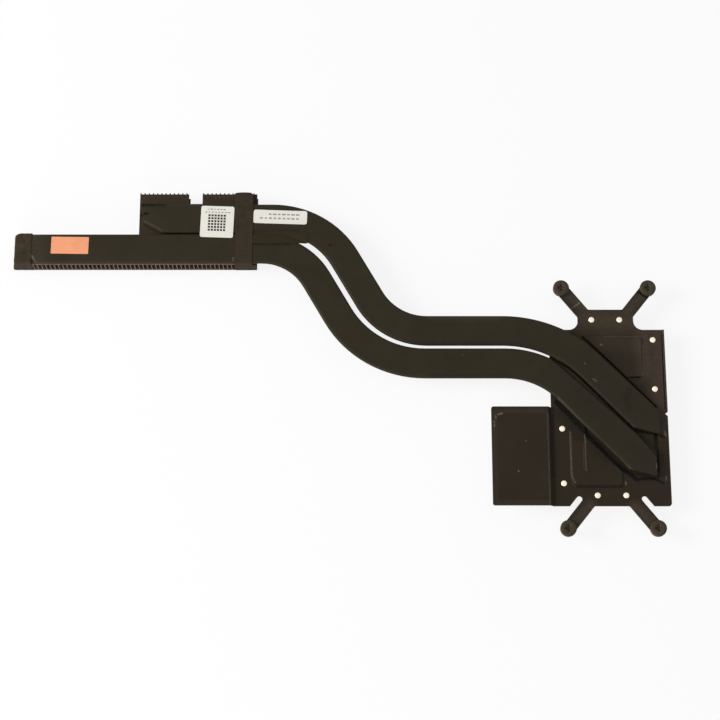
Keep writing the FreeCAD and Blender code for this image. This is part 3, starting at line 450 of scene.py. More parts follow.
def finish_mesh(name, shape, material, sharp=40):
    """Close a bmesh into a mesh with outward faces, smooth up to an angle in degrees."""
    bmesh.ops.recalc_face_normals(shape, faces=shape.faces)
    mesh = bpy.data.meshes.new(name)
    shape.to_mesh(mesh)
    shape.free()
    mesh.shade_smooth()
    mesh.set_sharp_from_angle(angle=math.radians(sharp))
    mesh.materials.append(material)
    return mesh


def joined(name, meshes, material):
    """Several meshes of one material as one mesh."""
    shape = bmesh.new()
    for mesh in meshes:
        shape.from_mesh(mesh)
    for face in shape.faces:
        face.material_index = 0
    return finish_mesh(name, shape, material)


def flat_matrix(node):
    """Places a flat piece's own plane, with its top face at nought, in the frame, and gives its two sides."""
    corners = [v.co for v in NODES[node].data.vertices]
    right_top = max(corners, key=lambda c: c.x + c.y)
    left_top = max(corners, key=lambda c: c.y - c.x)
    left_low = min(corners, key=lambda c: c.x + c.y)
    length, width = right_top - left_top, left_top - left_low
    length.z = width.z = 0
    middle = (right_top + left_low) / 2
    middle.z = max(c.z for c in corners)
    turn = Matrix.Rotation(math.atan2(length.y, length.x), 4, "Z")
    return Matrix.Translation(middle) @ turn, length.length, width.length


def put_in_order(shape):
    """Order corners by place, then edges and faces by their corners, as an extrusion's order varies by run."""
    for parts, key in ((shape.verts, lambda v: v.co[:]),
                       (shape.edges, lambda e: sorted(v.index for v in e.verts)),
                       (shape.faces, lambda f: sorted(v.index for v in f.verts))):
        ranks = {part: rank for rank, part in enumerate(sorted(parts, key=key))}
        parts.sort(key=ranks.get)
        parts.index_update()


def thin_sheet(name, node, material, corner, height, cells=24):
    """A thin sheet with round corners in a flat CAD piece's place, its face raised or sunk by a rule."""
    matrix, length, width = flat_matrix(node)
    low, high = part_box(node)
    shape = bmesh.new()
    bmesh.ops.create_grid(shape, x_segments=cells, y_segments=cells, size=1.0)
    for vert in shape.verts:
        x, y = vert.co.x * length / 2, vert.co.y * width / 2
        inset = Vector((max(abs(x) - (length / 2 - corner), 0), max(abs(y) - (width / 2 - corner), 0)))
        if inset.x > 0 and inset.y > 0:
            reach = max(inset) / inset.length
            x = math.copysign(length / 2 - corner + inset.x * reach, x)
            y = math.copysign(width / 2 - corner + inset.y * reach, y)
        vert.co = Vector((x, y, height(x, y, length, width)))
    shell = bmesh.ops.extrude_face_region(shape, geom=shape.faces[:])
    for item in shell["geom"]:
        if isinstance(item, bmesh.types.BMVert):
            item.co.z -= high.z - low.z
    put_in_order(shape)
    shape.transform(matrix)
    return finish_mesh(name, shape, material)


def soft_box(low, high, radius, cells, open_sides=()):
    """A box of even quads with round edges; its open sides, such as ("x", 1), have no wall or rounding."""
    shape = bmesh.new()
    bmesh.ops.create_cube(shape, size=1.0)
    bmesh.ops.subdivide_edges(shape, edges=shape.edges[:], cuts=cells, use_grid_fill=True)
    walls = []
    for axis, end in open_sides:
        index = "xyz".index(axis)
        walls += [f for f in shape.faces if all(abs(v.co[index] - end / 2) < 1e-6 for v in f.verts)]
    bmesh.ops.delete(shape, geom=walls, context="FACES")
    for vert in shape.verts:
        spot = Vector([low[i] + (vert.co[i] + 0.5) * (high[i] - low[i]) for i in range(3)])
        core = spot.copy()
        for i, axis in enumerate("xyz"):
            if (axis, -1) not in open_sides:
                core[i] = max(core[i], low[i] + radius)
            if (axis, 1) not in open_sides:
                core[i] = min(core[i], high[i] - radius)
        reach = spot - core
        vert.co = core + reach.normalized() * radius if reach.length > 0 else spot
    return shape


def crinkle(shape, depth, size, seed):
    """Push a surface outwards between sharp creases that lie about a given distance apart."""
    shape.normal_update()
    moves = []
    for vert in shape.verts:
        spot = vert.co / size + Vector((seed, seed * 0.7, seed * 1.3))
        # broad creases, with finer and shallower ones between them
        ridge = abs(noise.noise(spot)) + 0.4 * abs(noise.noise(spot * 2.3))
        moves.append((vert, vert.normal * depth * min(ridge, 1.0)))
    for vert, move in moves:
        vert.co += move


def rounded_loop(corners, step):
    """Points round a closed outline of (y, z, radius) corners, no further apart than a step."""
    bends = []
    for i, (y, z, radius) in enumerate(corners):
        corner = Vector((y, z))
        into = (corner - Vector(corners[i - 1][:2])).normalized()
        out = (Vector(corners[(i + 1) % len(corners)][:2]) - corner).normalized()
        first, last = corner - into * radius, corner + out * radius
        for part in range(BEND_STEPS + 1):
            t = part / BEND_STEPS
            bends.append(first * (1 - t) ** 2 + corner * 2 * t * (1 - t) + last * t ** 2)
    points = []
    for i, spot in enumerate(bends):
        run = bends[(i + 1) % len(bends)] - spot
        count = max(1, math.ceil(run.length / step))
        points += [spot + run * k / count for k in range(count)]
    return points


def loft(rings):
    """A closed skin over a row of closed rings of points."""
    shape = bmesh.new()
    rows = [[shape.verts.new(spot) for spot in ring] for ring in rings]
    for near, far in zip(rows, rows[1:]):
        for i in range(len(near)):
            j = (i + 1) % len(near)
            shape.faces.new((near[i], near[j], far[j], far[i]))
    shape.faces.new(rows[0])
    shape.faces.new(rows[-1])
    return shape


class HEATSINK_OT_base_sheet(bpy.types.Operator):
    """Coat the stamped sheet, rub its edges and the places that show wear, and paint in its light and shade"""
    bl_idname = "heatsink.base_sheet"
    bl_label = "Coat base sheet"

    def execute(self, context):
        # stamped steel under electrocoat: flat brown-black, pale where it is rubbed, with painted sheen and
        # highlights, and painted shade in its creases, at its steps and beside the pipes
        dress("base_plate", black_skin("black coated steel sheet", "sheet", 0.5, 0.35, 0.2, SHEET_MARKS))
        return {"FINISHED"}


class HEATSINK_OT_heat_pipes(bpy.types.Operator):
    """Coat the flattened copper pipes"""
    bl_idname = "heatsink.heat_pipes"
    bl_label = "Coat heat pipes"

    def execute(self, context):
        # copper pipe pressed flat and coated: smoother and greener than the sheet, with painted highlights and
        # shade on its shoulders, painted shadow along its edges, and a few dents and rubs
        for side, marks in PIPE_MARKS.items():
            name = f"black coated copper pipe {side}"
            dress(f"heat_pipe_{side}", black_skin(name, "pipe", 0.45, 0.12, 0.3, marks))
        return {"FINISHED"}


class HEATSINK_OT_fins(bpy.types.Operator):
    """Coat the folded fins"""
    bl_idname = "heatsink.fins"
    bl_label = "Coat fins"

    def execute(self, context):
        # folded aluminium sheet, coated: the coat is rubbed through on the thin edges and given a painted
        # highlight, so each fin is a pale line; painted shadow by the upper pipe's end and painted light in the
        # corner by the cap
        material = black_skin("black coated aluminium fins", "fin", 0.5, 0.6, 0.12, FIN_MARKS, "fin_edge")
        for node in ("fin_pack_long", "fin_pack_deep"):
            dress(node, material)
        return {"FINISHED"}


class HEATSINK_OT_cold_plate(bpy.types.Operator):
    """Mill the copper plate that meets the processor and coat its upper side"""
    bl_idname = "heatsink.cold_plate"
    bl_label = "Mill copper plate"

    def execute(self, context):
        colours = context.scene.heatsink_colours
        # copper milled flat: warm and bright, with fine arcs of the cutter; the sides and top are coated black
        material, tree, place = new_material("milled copper, coated above")
        tone, cloud = mottled(tree, place, colours.plate_copper, 6.0, 0.08)
        centre = add_node(tree, "ShaderNodeMapping", {"Location": (0.06, 0.04, 0)}, {"Vector": place})
        # cutter marks 0.9 mm apart, drawn coarser than real ones so that they show
        arcs = add_node(tree, "ShaderNodeTexWave",
                        {"wave_type": "RINGS", "rings_direction": "Z", "Scale": wave_scale(0.9),
                         "Distortion": 0.6, "Detail": 1.0}, {"Vector": centre})
        cuts = add_node(tree, "ShaderNodeBump", {"Strength": 0.25, "Distance": 0.01 * MM},
                        {"Height": arcs.outputs["Fac"]})
        # the coat starts about 0.3 mm above the milled face
        height = add_node(tree, "ShaderNodeSeparateXYZ", links={"Vector": place})
        coat = add_node(tree, "ShaderNodeMapRange", {"From Min": 0.25 * MM, "From Max": 0.35 * MM},
                        {"Value": height.outputs["Z"]})
        black = mottled(tree, place, colours.sheet, COAT_CLOUD, COAT_DRIFT)[0]
        # painted shadow along the seams on the coated top, as on the sheet
        black = paint_strokes(tree, place, black, colours.crease, 1.0, 0.3, SEAM_SHADOW)
        skin = add_node(tree, "ShaderNodeMix", {"data_type": "RGBA"}, {0: coat, MIX_A: tone, MIX_B: black})
        metal = add_node(tree, "ShaderNodeMapRange", {"To Min": 1.0, "To Max": 0.0}, {"Value": coat})
        bright = add_node(tree, "ShaderNodeMapRange", {"To Min": 0.26, "To Max": 0.4}, {"Value": cloud})
        rough = add_node(tree, "ShaderNodeMix", {"data_type": "FLOAT", 3: 0.55}, {0: coat, 2: bright})
        close_material(tree, {"Specular IOR Level": 0.1},
                       {"Base Color": skin.outputs[MIX_RESULT], "Metallic": metal, "Roughness": rough,
                        "Normal": cuts})
        dress("cold_plate", material)
        return {"FINISHED"}


class HEATSINK_OT_rivets(bpy.types.Operator):
    """Set a domed rivet in every rivet hole"""
    bl_idname = "heatsink.rivets"
    bl_label = "Set rivets"

    def execute(self, context):
        sizes = context.scene.heatsink_sizes
        # pressed aluminium: pale, satin, faintly dimpled by the punch
        material, tree, place = new_material("pressed aluminium rivet")
        tone, cloud = mottled(tree, place, context.scene.heatsink_colours.rivet, 0.8, 0.06)
        rough = add_node(tree, "ShaderNodeMapRange", {"To Min": 0.38, "To Max": 0.55}, {"Value": cloud})
        close_material(tree, {"Metallic": 0.6}, {"Base Color": tone, "Roughness": rough,
                                                 "Normal": grain(tree, place, 0.3, 0.2, 0.03)})

        tree, given = new_tree("rivets_on_points", Head_Radius="Float", Dome="Float", Shank_Radius="Float",
                               Length="Float")
        bar = add_node(tree, "GeometryNodeMeshCylinder", {"Vertices": 20},
                       {"Radius": given["Shank Radius"], "Depth": given["Length"]})
        half = add_node(tree, "ShaderNodeMath", {"operation": "MULTIPLY", 1: -0.5}, {0: given["Length"]})
        drop = add_node(tree, "ShaderNodeCombineXYZ", links={"Z": half})
        shank = add_node(tree, "GeometryNodeTransform", links={"Geometry": bar, "Translation": drop})
        ball = add_node(tree, "GeometryNodeMeshUVSphere", {"Segments": 24, "Rings": 12, "Radius": 1.0})
        squeeze = add_node(tree, "ShaderNodeCombineXYZ",
                           links={"X": given["Head Radius"], "Y": given["Head Radius"], "Z": given["Dome"]})
        head = add_node(tree, "GeometryNodeTransform", links={"Geometry": ball, "Scale": squeeze})
        both = add_node(tree, "GeometryNodeJoinGeometry", links={"Geometry": shank})
        tree.links.new(head.outputs[0], both.inputs["Geometry"])
        spread = add_node(tree, "GeometryNodeInstanceOnPoints",
                          links={"Points": given["Geometry"], "Instance": both})
        close_tree(tree, given, spread)

        # points of one rivet lie within 1.2 head widths of each other
        groups = []
        for vert in NODES["base_rivets"].data.vertices:
            spot = vert.co.xy
            group = next((g for g in groups if (g[0] - spot).length < sizes.rivet_head * 1.2), None)
            if group is None:
                groups.append([spot])
            else:
                group.append(spot)
        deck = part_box("fin_pack_deep")[1].z
        spots = [(*((min(v[i] for v in g) + max(v[i] for v in g)) / 2 for i in range(2)), deck) for g in groups]
        mesh = grow(tree, "rivets", spots, Head_Radius=sizes.rivet_head / 2, Dome=sizes.rivet_dome,
                    Shank_Radius=0.7 * MM, Length=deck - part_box("base_rivets")[0].z, Material=material)
        new_piece("rivets", joined("rivets", [mesh], material), "heatsink", "rivet", "base_rivets")
        return {"FINISHED"}


class HEATSINK_OT_screws(bpy.types.Operator):
    """Blacken the captive screws, cut their threads and finish their retaining rings"""
    bl_idname = "heatsink.screws"
    bl_label = "Finish screws"

    def execute(self, context):
        sizes = context.scene.heatsink_sizes
        # steel blackened in a salt bath: a lighter, browner black than the coat, with a low shine and a painted
        # highlight on its rim
        steel = black_skin("black oxide steel screw", "screw", 0.42, 0.35, 0.15)
        # nylon from a mould: even, dull and the darkest of the blacks, with no wear
        nylon = black_skin("moulded black nylon ring", "ring", 0.6, 0.0, 0.1)

        tree, given = new_tree("cut_thread", Radius="Float", Length="Float", Pitch="Float", Depth="Float")
        bar = add_node(tree, "GeometryNodeMeshCylinder", {"Vertices": 20, "Side Segments": 84},
                       {"Radius": given["Radius"], "Depth": given["Length"]})
        spot = add_node(tree, "ShaderNodeSeparateXYZ",
                        links={"Vector": add_node(tree, "GeometryNodeInputPosition")}).outputs
        turn = add_node(tree, "ShaderNodeMath", {"operation": "ARCTAN2"}, {0: spot["Y"], 1: spot["X"]})
        share = add_node(tree, "ShaderNodeMath", {"operation": "DIVIDE", 1: math.tau}, {0: turn})
        climb = add_node(tree, "ShaderNodeMath", {"operation": "DIVIDE"}, {0: spot["Z"], 1: given["Pitch"]})
        phase = add_node(tree, "ShaderNodeMath", {"operation": "SUBTRACT"}, {0: climb, 1: share})
        saw = add_node(tree, "ShaderNodeMath", {"operation": "PINGPONG", 1: 0.5}, {0: phase})
        dip = add_node(tree, "ShaderNodeMath", {"operation": "MULTIPLY"}, {0: saw, 1: given["Depth"]})
        ratio = add_node(tree, "ShaderNodeMath", {"operation": "DIVIDE"}, {0: dip, 1: given["Radius"]})
        keep = add_node(tree, "ShaderNodeMath", {"operation": "MULTIPLY_ADD", 1: -2.0, 2: 1.0}, {0: ratio})
        # the last half millimetre tapers to a point that starts in its nut
        end = add_node(tree, "ShaderNodeMath", {"operation": "MULTIPLY", 1: -0.5}, {0: given["Length"]})
        rise = add_node(tree, "ShaderNodeMath", {"operation": "SUBTRACT"}, {0: spot["Z"], 1: end})
        taper = add_node(tree, "ShaderNodeMapRange", {"From Max": 0.5 * MM, "To Min": 0.72, "To Max": 1.0},
                         {"Value": rise})
        slim = add_node(tree, "ShaderNodeMath", {"operation": "MULTIPLY"}, {0: keep, 1: taper})
        cut = add_node(tree, "ShaderNodeCombineXYZ", links={"Z": spot["Z"]})
        for axis in "XY":
            pulled = add_node(tree, "ShaderNodeMath", {"operation": "MULTIPLY"}, {0: spot[axis], 1: slim})
            tree.links.new(pulled.outputs[0], cut.inputs[axis])
        shaped = add_node(tree, "GeometryNodeSetPosition", links={"Geometry": bar, "Position": cut})
        close_tree(tree, given, shaped)

        thread_radius = 1.0 * MM
        for index in SCREWS:
            node, name = f"captive_screw_{index}", f"threaded_screw_{index}"
            low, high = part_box(node)
            middle = (low + high) / 2
            shape = bmesh.new()
            shape.from_mesh(NODES[node].data)
            bmesh.ops.remove_doubles(shape, verts=shape.verts, dist=0.001 * MM)
            # the CAD screw keeps its head and neck; its plain shank, below the ring, gives way to a thread
            ring_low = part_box(f"screw_retainer_{index}")[0].z - 0.1 * MM
            shoulder = max(v.co.z for f in shape.faces if f.calc_center_median().z < ring_low for v in f.verts
                           if (v.co.xy - middle.xy).length > 0.95 * thread_radius)
            below = [f for f in shape.faces if all(v.co.z < shoulder + 0.01 * MM for v in f.verts)]
            bmesh.ops.delete(shape, geom=below, context="FACES")
            bmesh.ops.holes_fill(shape, edges=[e for e in shape.edges if e.is_boundary])
            head = finish_mesh(f"{node}_head", shape, steel)
            length = shoulder - low.z
            thread = grow(tree, f"{node}_thread", [(0, 0, 0)], Radius=thread_radius, Length=length,
                          Pitch=sizes.thread_pitch, Depth=sizes.thread_depth, Material=steel)
            thread.transform(Matrix.Translation((middle.x, middle.y, low.z + length / 2)))
            new_piece(name, joined(name, [head, thread], steel), f"screw_{index}", "screw", node)
            dress(f"screw_retainer_{index}", nylon)
        return {"FINISHED"}


def tape_material(name, colour, weave, spread):
    """Black tape: matte, a little fibrous, its threads or pores just showing in raking light."""
    material, tree, place = new_material(name)
    tone = mottled(tree, place, colour, 3.0, spread)[0]
    if weave:
        across, along = [add_node(tree, "ShaderNodeTexWave",
                                  {"bands_direction": axis, "Scale": wave_scale(weave), "Distortion": 0.4},
                                  {"Vector": place}).outputs["Fac"] for axis in "XY"]
        height = add_node(tree, "ShaderNodeMath", {"operation": "MAXIMUM"}, {0: across, 1: along})
    else:
        # pores 0.3 mm wide
        height = add_node(tree, "ShaderNodeTexVoronoi", {"Scale": per_metre(0.3)}, {"Vector": place})
    bump = add_node(tree, "ShaderNodeBump", {"Strength": 0.35, "Distance": 0.03 * MM}, {"Height": height})
    close_material(tree, {"Specular IOR Level": 0.12, "Roughness": 0.8}, {"Base Color": tone, "Normal": bump})
    return material


def cap_shape(sizes):
    """The tape cap's skin, open below and towards the pipe, its end leaning outwards towards its hem."""
    low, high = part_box("end_cap_left")
    fins_low, fins_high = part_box("fin_pack_long")
    room = sizes.tape_crinkle
    end = fins_low.x - 0.05 * MM
    lean = end - low.x - room
    inner_high = Vector((high.x, high.y - room, high.z - room))
    shape = soft_box(Vector((end, low.y + room, low.z)), inner_high, sizes.tape_edge, 26, (("x", 1), ("z", -1)))
    # above the fins nothing fills its outer corner at the back, which is tucked in
    reach, deck = 2.4 * MM, fins_high.z
    for vert in shape.verts:
        near_end = max(0, 1 - (vert.co.x - end) / reach)
        near_back = max(0, 1 - (inner_high.y - vert.co.y) / reach)
        tuck = sizes.corner_tuck * (near_end * near_back) ** 2 * max(0, (vert.co.z - deck) / (high.z - deck))
        down = (high.z - vert.co.z) / (high.z - low.z)
        vert.co.x += tuck - lean * down * (high.x - vert.co.x) / (high.x - end)
        vert.co.y -= tuck
    crinkle(shape, sizes.tape_crinkle, 2.2 * MM, 3.1)
    return shape


def band_shapes(sizes):
    """The foam band's strip over both pipes, swollen at its back end, and the flap before the fins."""
    low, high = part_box("end_band_right")
    fins_low, fins_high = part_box("fin_pack_deep")
    right, pipe_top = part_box("seam_tape")[0].x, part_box("heat_pipe_upper")[1].z
    front, deck = fins_low.y, fins_high.z
    # behind the pipes the band steps down to the fins
    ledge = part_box("strip_label")[1].y + 2.3 * MM
    thin, soft = 0.09 * MM, sizes.tape_edge
    loop = rounded_loop([
        (low.y, low.z, thin), (front, low.z, thin), (front, pipe_top, 0.2 * MM), (ledge, pipe_top, 0.05 * MM),
        (ledge, deck, thin), (high.y, deck, thin), (high.y, high.z, 1.6 * soft), (low.y, high.z, soft)], 0.5 * MM)
    # its back end bulges in the middle, draws in at both corners and flares to the left
    rings = []
    steps = 16
    for k in range(steps + 1):
        across = 2 * k / steps - 1
        x = low.x + (right - low.x) * k / steps
        back = sizes.band_bulge * (1 - across ** 2) - 0.5 * MM * max(0, abs(across) - 0.75) / 0.25
        ring = []
        for y, z in loop:
            pull = max(0, (y - ledge) / (high.y - ledge))
            wave = noise.noise(Vector((x, y, z)) / (2.6 * MM)) * 0.05 * MM
            flare = 0.6 * MM * pull ** 2 * max(0, -across)
            ring.append(Vector((x + wave - flare, y + (back - sizes.band_bulge) * pull,
                                z + min(wave, 0) * (z > pipe_top))))
        rings.append(ring)
    flap = soft_box(Vector((right, low.y, low.z)), Vector((high.x, front, deck)), thin, 12)
    return {"foam_band_strip": loft(rings), "foam_band_flap": flap}


def seam_rule(sizes):
    """How the tape sinks between the pipes, along the gap and into the bend where the gap turns."""
    matrix = flat_matrix("seam_tape")[0]
    bend_start, bend_radius, seam = -116.7 * MM, 25.5 * MM, 61.8 * MM

    def over_seam(x, y, length, width):
        spot = matrix @ Vector((x, y, 0))
        into = max(0, spot.x - bend_start)
        line = seam - (bend_radius - math.sqrt(bend_radius ** 2 - into ** 2))
        return -sizes.seam_sag * math.exp(-((spot.y - line) / (0.8 * MM)) ** 2)

    return over_seam


class HEATSINK_OT_tapes(bpy.types.Operator):
    """Wrap the ends of the fin stack in tape and close the seam between the pipes"""
    bl_idname = "heatsink.tapes"
    bl_label = "Wrap tapes"

    def execute(self, context):
        colours, sizes = context.scene.heatsink_colours, context.scene.heatsink_sizes
        # woven cloth, threads 0.35 mm apart: brownish and blotchy, with no shine
        cloth = tape_material("black cloth tape", colours.tape, 0.35, 0.32)
        # film on a thin backing: more even, the same fine lines
        film = tape_material("black film tape", colours.film, 0.35, 0.12)
        # closed foam: soft black, pitted with pores
        foam = tape_material("black foam tape", colours.foam, 0.0, 0.2)

        mesh = finish_mesh("tape_cap", cap_shape(sizes), cloth, 60)
        cap = new_piece("tape_cap", mesh, "heatsink", "black_tape", "end_cap_left")
        wall = cap.modifiers.new("thickness", "SOLIDIFY")
        wall.thickness = 0.16 * MM
        wall.offset = -1.0

        meshes = [finish_mesh(name, shape, foam) for name, shape in band_shapes(sizes).items()]
        foam_band = new_piece("foam_band", joined("foam_band", meshes, foam), "heatsink", "black_tape",
                              "end_band_right")

        mesh = thin_sheet("tape_over_seam", "seam_tape", film, 0.5 * MM, seam_rule(sizes), 40)
        new_piece("tape_over_seam", mesh, "heatsink", "black_tape", "seam_tape")
        return {"FINISHED"}


class HEATSINK_OT_labels(bpy.types.Operator):
    """Stick on the two white labels with plain printed marks, and the copper foil patch"""
    bl_idname = "heatsink.labels"
    bl_label = "Stick labels"

    def execute(self, context):
        colours, sizes = context.scene.heatsink_colours, context.scene.heatsink_sizes
        # matte polyester film: near white, even, a faint fibre under the coat
        film, tree, place = new_material("white polyester label")
        close_material(tree, {"Roughness": 0.55, "Specular IOR Level": 0.3},
                       {"Base Color": mottled(tree, place, colours.paper, 3.0, 0.03)[0],
                        "Normal": grain(tree, place, 0.4, 0.15, 0.01)})

        # thermal transfer ink: flat, a little broken where the ribbon skipped
        inks = []
        for name, colour in (("dark printed ink", colours.ink), ("pale printed ink", colours.pale_ink)):
            ink, tree, place = new_material(name)
            close_material(tree, {"Roughness": 0.6, "Specular IOR Level": 0.2},
                           {"Base Color": mottled(tree, place, colour, 0.5, 0.18)[0]})
            inks.append(ink)
        dark, pale = inks

        # rolled foil: bright, with fine lines along the roll, drawn 0.25 mm apart so that they show
        foil, tree, place = new_material("rolled copper foil")
        tone, cloud = mottled(tree, place, colours.copper, 4.0, 0.05)
        rough = add_node(tree, "ShaderNodeMapRange", {"To Min": 0.58, "To Max": 0.7}, {"Value": cloud})
        lines = add_node(tree, "ShaderNodeTexWave",
                         {"bands_direction": "Y", "Scale": wave_scale(0.25), "Distortion": 2.0, "Detail": 2.0},
                         {"Vector": place})
        bump = add_node(tree, "ShaderNodeBump", {"Strength": 0.12, "Distance": 0.01 * MM},
                        {"Height": lines.outputs["Fac"]})
        close_material(tree, {"Metallic": 0.55}, {"Base Color": tone, "Roughness": rough, "Normal": bump})

        def curled(x, y, length, width):
            return sizes.label_curl * ((abs(2 * x / length) * abs(2 * y / width)) ** 4 - 1)

        def rippled(x, y, length, width):
            return sizes.foil_ripple * (noise.noise(Vector((x, y * 1.6, 0)) / (2.5 * MM)) - 1) / 2

        for node in ("code_label", "strip_label"):
            mesh = thin_sheet(f"{node}_film", node, film, sizes.label_corner, curled)
            new_piece(f"{node}_film", mesh, "heatsink", "white_label", node)
        mesh = thin_sheet("copper_patch", "copper_foil_pad", foil, 0.15 * MM, rippled)
        new_piece("copper_patch", mesh, "heatsink", "copper_foil", "copper_foil_pad")

        tree, given = new_tree("printed_cells", Columns="Int", Rows="Int", Width="Float", Height="Float",
                               Cell_Width="Float", Cell_Height="Float", Shortening="Float", Seed="Int")
        points = add_node(tree, "GeometryNodeMeshGrid",
                          links={"Size X": given["Width"], "Size Y": given["Height"],
                                 "Vertices X": given["Columns"], "Vertices Y": given["Rows"]})
        size = add_node(tree, "ShaderNodeCombineXYZ", {"Z": 0.02 * MM},
                        {"X": given["Cell Width"], "Y": given["Cell Height"]})
        cell = add_node(tree, "GeometryNodeMeshCube", links={"Size": size})
        chance = add_node(tree, "FunctionNodeRandomValue", {"data_type": "FLOAT"}, {"Seed": given["Seed"]})
        cropped = add_node(tree, "ShaderNodeMath", {"operation": "MULTIPLY"},
                           {0: chance.outputs[1], 1: given["Shortening"]})
        whole = add_node(tree, "ShaderNodeMath", {"operation": "SUBTRACT", 0: 1.0}, {1: cropped})
        scale = add_node(tree, "ShaderNodeCombineXYZ", {"Y": 1.0, "Z": 1.0}, {"X": whole})
        spread = add_node(tree, "GeometryNodeInstanceOnPoints",
                          links={"Points": points, "Instance": cell, "Scale": scale})
        close_tree(tree, given, spread)

        # each field: its place in the label's plane, columns, rows, their runs and the cells' two sides, with
        # lengths in millimetres, and how far cells are shortened at random
        cells = sizes.block_cells
        pitch = 6.4 / cells
        run, side = pitch * (cells - 1), pitch * 0.72
        prints = (
            ("code_label", "block", dark, [(-0.1, -0.35, cells, cells, run, run, side, side, 0.0)]),
            ("code_label", "rows", pale, [(-0.45, 4.6, 6, 1, 5.6, 0.0, 0.9, 0.4, 0.5),
                                          (0.0, 3.5, 8, 1, 8.0, 0.0, 1.0, 0.4, 0.5)]),
            ("strip_label", "rows", pale, [(1.2, 0.95, 7, 1, 9.6, 0.0, 1.4, 0.55, 0.5),
                                           (-0.3, -0.55, 9, 1, 12.6, 0.0, 1.4, 0.55, 0.5)]),
        )
        for node, what, ink, fields in prints:
            name = f"{node}_{what}"
            matrix = flat_matrix(node)[0]
            meshes = []
            for seed, (x, y, columns, rows, width, height, wide, tall, short) in enumerate(fields, start=4):
                mesh = grow(tree, f"{name}_{seed}", [(0, 0, 0)], Columns=columns, Rows=rows, Width=width * MM,
                            Height=height * MM, Cell_Width=wide * MM, Cell_Height=tall * MM, Shortening=short,
                            Seed=seed, Material=ink)
                mesh.transform(matrix @ Matrix.Translation((x * MM, y * MM, -sizes.label_curl)))
                meshes.append(mesh)
            new_piece(name, joined(name, meshes, ink), "heatsink", "white_label")
        return {"FINISHED"}


class HEATSINK_OT_thermal_pad(bpy.types.Operator):
    """Lay the soft pad under the wing"""
    bl_idname = "heatsink.thermal_pad"
    bl_label = "Lay thermal pad"

    def execute(self, context):
        # filled silicone: grey, waxy, slightly grainy, with a soft cut edge
        material, tree, place = new_material("filled silicone pad")
        tone = mottled(tree, place, context.scene.heatsink_colours.pad, 2.5, 0.06)[0]
        close_material(tree, {"Roughness": 0.7, "Subsurface Weight": 0.05, "Subsurface Radius": [0.4 * MM] * 3},
                       {"Base Color": tone, "Normal": grain(tree, place, 0.25, 0.3, 0.03)})
        low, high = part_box("wing_thermal_pad")
        middle = (low + high) / 2
        shape = soft_box(low, high, context.scene.heatsink_sizes.pad_edge, 30)
        # its lower face is crowned by 0.12 mm and a little uneven
        for vert in shape.verts:
            across = (vert.co.x - middle.x) / (high.x - low.x) * 2
            along = (vert.co.y - middle.y) / (high.y - low.y) * 2
            crown = (1 - across ** 4) * (1 - along ** 4)
            if vert.co.z < middle.z:
                wave = noise.noise(vert.co / (5 * MM)) * 0.04 * MM
                vert.co.z += 0.12 * MM * (1 - crown) + wave * crown
        pad = new_piece("soft_pad", finish_mesh("soft_pad", shape, material, 80), "heatsink", "thermal_pad",
                        "wing_thermal_pad")
        return {"FINISHED"}


def seen_rays(tree):
    """One for rays that show the background: the camera's, and those by way of a mirror or glass."""
    rays = add_node(tree, "ShaderNodeLightPath").outputs
    seen = add_node(tree, "ShaderNodeMath", {"operation": "MAXIMUM"},
                    {0: rays["Is Camera Ray"], 1: rays["Is Glossy Ray"]})
    return add_node(tree, "ShaderNodeMath", {"operation": "MAXIMUM"}, {0: seen, 1: rays["Is Transmission Ray"]})


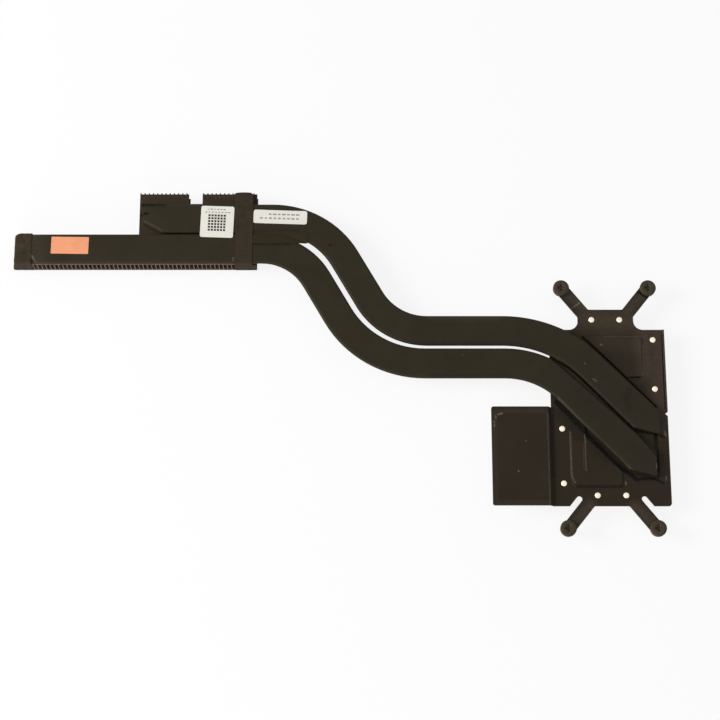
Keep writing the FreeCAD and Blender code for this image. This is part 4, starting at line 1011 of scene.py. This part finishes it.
class HEATSINK_OT_stage(bpy.types.Operator):
    """Set up the pale floor, the soft light and the camera"""
    bl_idname = "heatsink.stage"
    bl_label = "Set stage"

    def execute(self, context):
        scene = context.scene
        stage = scene.heatsink_stage
        scene.view_settings.view_transform = "Standard"
        low, high = CAD_BOX
        middle = (low + high) / 2

        pale = bpy.data.materials.new("pale studio floor")
        tree = empty_tree(pale)
        plain = add_node(tree, "ShaderNodeBsdfDiffuse", {"Color": stage.floor})
        white = add_node(tree, "ShaderNodeEmission", {"Color": stage.floor, "Strength": 1.0})
        # most of the white comes straight to the eye and to mirrors, the rest keeps the object's shadow
        share = add_node(tree, "ShaderNodeMath", {"operation": "MULTIPLY", 1: 0.85}, {0: seen_rays(tree)})
        mix = add_node(tree, "ShaderNodeMixShader", links={0: share, 1: plain, 2: white})
        # from below the floor can be looked through, so that the object's underside shows
        below = add_node(tree, "ShaderNodeMath", {"operation": "MULTIPLY"},
                         {0: add_node(tree, "ShaderNodeNewGeometry").outputs["Backfacing"],
                          1: add_node(tree, "ShaderNodeLightPath").outputs["Is Camera Ray"]})
        clear = add_node(tree, "ShaderNodeBsdfTransparent")
        sides = add_node(tree, "ShaderNodeMixShader", links={0: below, 1: mix, 2: clear})
        add_node(tree, "ShaderNodeOutputMaterial", links={"Surface": sides})
        # 6 m wide, just below the object
        shape = bmesh.new()
        bmesh.ops.create_grid(shape, x_segments=1, y_segments=1, size=3.0)
        shape.transform(Matrix.Translation((middle.x, middle.y, low.z - 0.05 * MM)))
        ground = bpy.data.objects.new("floor", finish_mesh("floor", shape, pale))
        scene.collection.objects.link(ground)

        scene.world = bpy.data.worlds.new("studio")
        tree = empty_tree(scene.world)
        level = add_node(tree, "ShaderNodeMapRange", {"To Min": stage.fill, "To Max": 1.0},
                         {"Value": seen_rays(tree)})
        glow = add_node(tree, "ShaderNodeBackground", {"Color": stage.floor}, {"Strength": level})
        add_node(tree, "ShaderNodeOutputWorld", links={"Surface": glow})

        for name, power, offset in (("key softbox", stage.key, stage.key_offset),
                                    ("front softbox", stage.front, stage.front_offset)):
            lamp = bpy.data.lights.new(name, "AREA")
            lamp.size = stage.lamp_size
            lamp.energy = power
            softbox = bpy.data.objects.new(name, lamp)
            softbox.location = middle + Vector(offset)
            softbox.rotation_euler = (-Vector(offset)).to_track_quat("-Z", "Y").to_euler()
            scene.collection.objects.link(softbox)

        lens = bpy.data.cameras.new("camera")
        lens.lens = stage.lens
        lens.sensor_width = 36
        camera = bpy.data.objects.new("camera", lens)
        back = Vector((0, -math.sin(stage.tilt), math.cos(stage.tilt)))
        camera.location = Vector(stage.target) + back * stage.distance
        camera.rotation_euler = (stage.tilt, 0, 0)
        scene.collection.objects.link(camera)
        scene.camera = camera
        return {"FINISHED"}


OPERATORS = (
    HEATSINK_OT_base_sheet, HEATSINK_OT_heat_pipes, HEATSINK_OT_fins, HEATSINK_OT_cold_plate,
    HEATSINK_OT_rivets, HEATSINK_OT_screws, HEATSINK_OT_tapes, HEATSINK_OT_labels, HEATSINK_OT_thermal_pad,
    HEATSINK_OT_stage,
)


class HEATSINK_PT_finish(bpy.types.Panel):
    """The steps that dress the heatsink, with the values they use"""
    bl_idname = "HEATSINK_PT_finish"
    bl_label = "Heatsink"
    bl_space_type = "VIEW_3D"
    bl_region_type = "UI"
    bl_category = "Heatsink"

    def draw(self, context):
        for operator in OPERATORS:
            self.layout.operator(operator.bl_idname)
        for key, group in GROUPS.items():
            box = self.layout.box()
            for value in group.__annotations__:
                box.prop(getattr(context.scene, key), value)


CLASSES = (*GROUPS.values(), *OPERATORS, HEATSINK_PT_finish)


def register():
    for cls in CLASSES:
        bpy.utils.register_class(cls)
    for key, group in GROUPS.items():
        setattr(bpy.types.Scene, key, PointerProperty(type=group))


def unregister():
    for key in GROUPS:
        delattr(bpy.types.Scene, key)
    for cls in reversed(CLASSES):
        bpy.utils.unregister_class(cls)


def main():
    register()
    for operator in OPERATORS:
        group, name = operator.bl_idname.split(".")
        getattr(getattr(bpy.ops, group), name)()


if __name__ == "__main__":
    main()
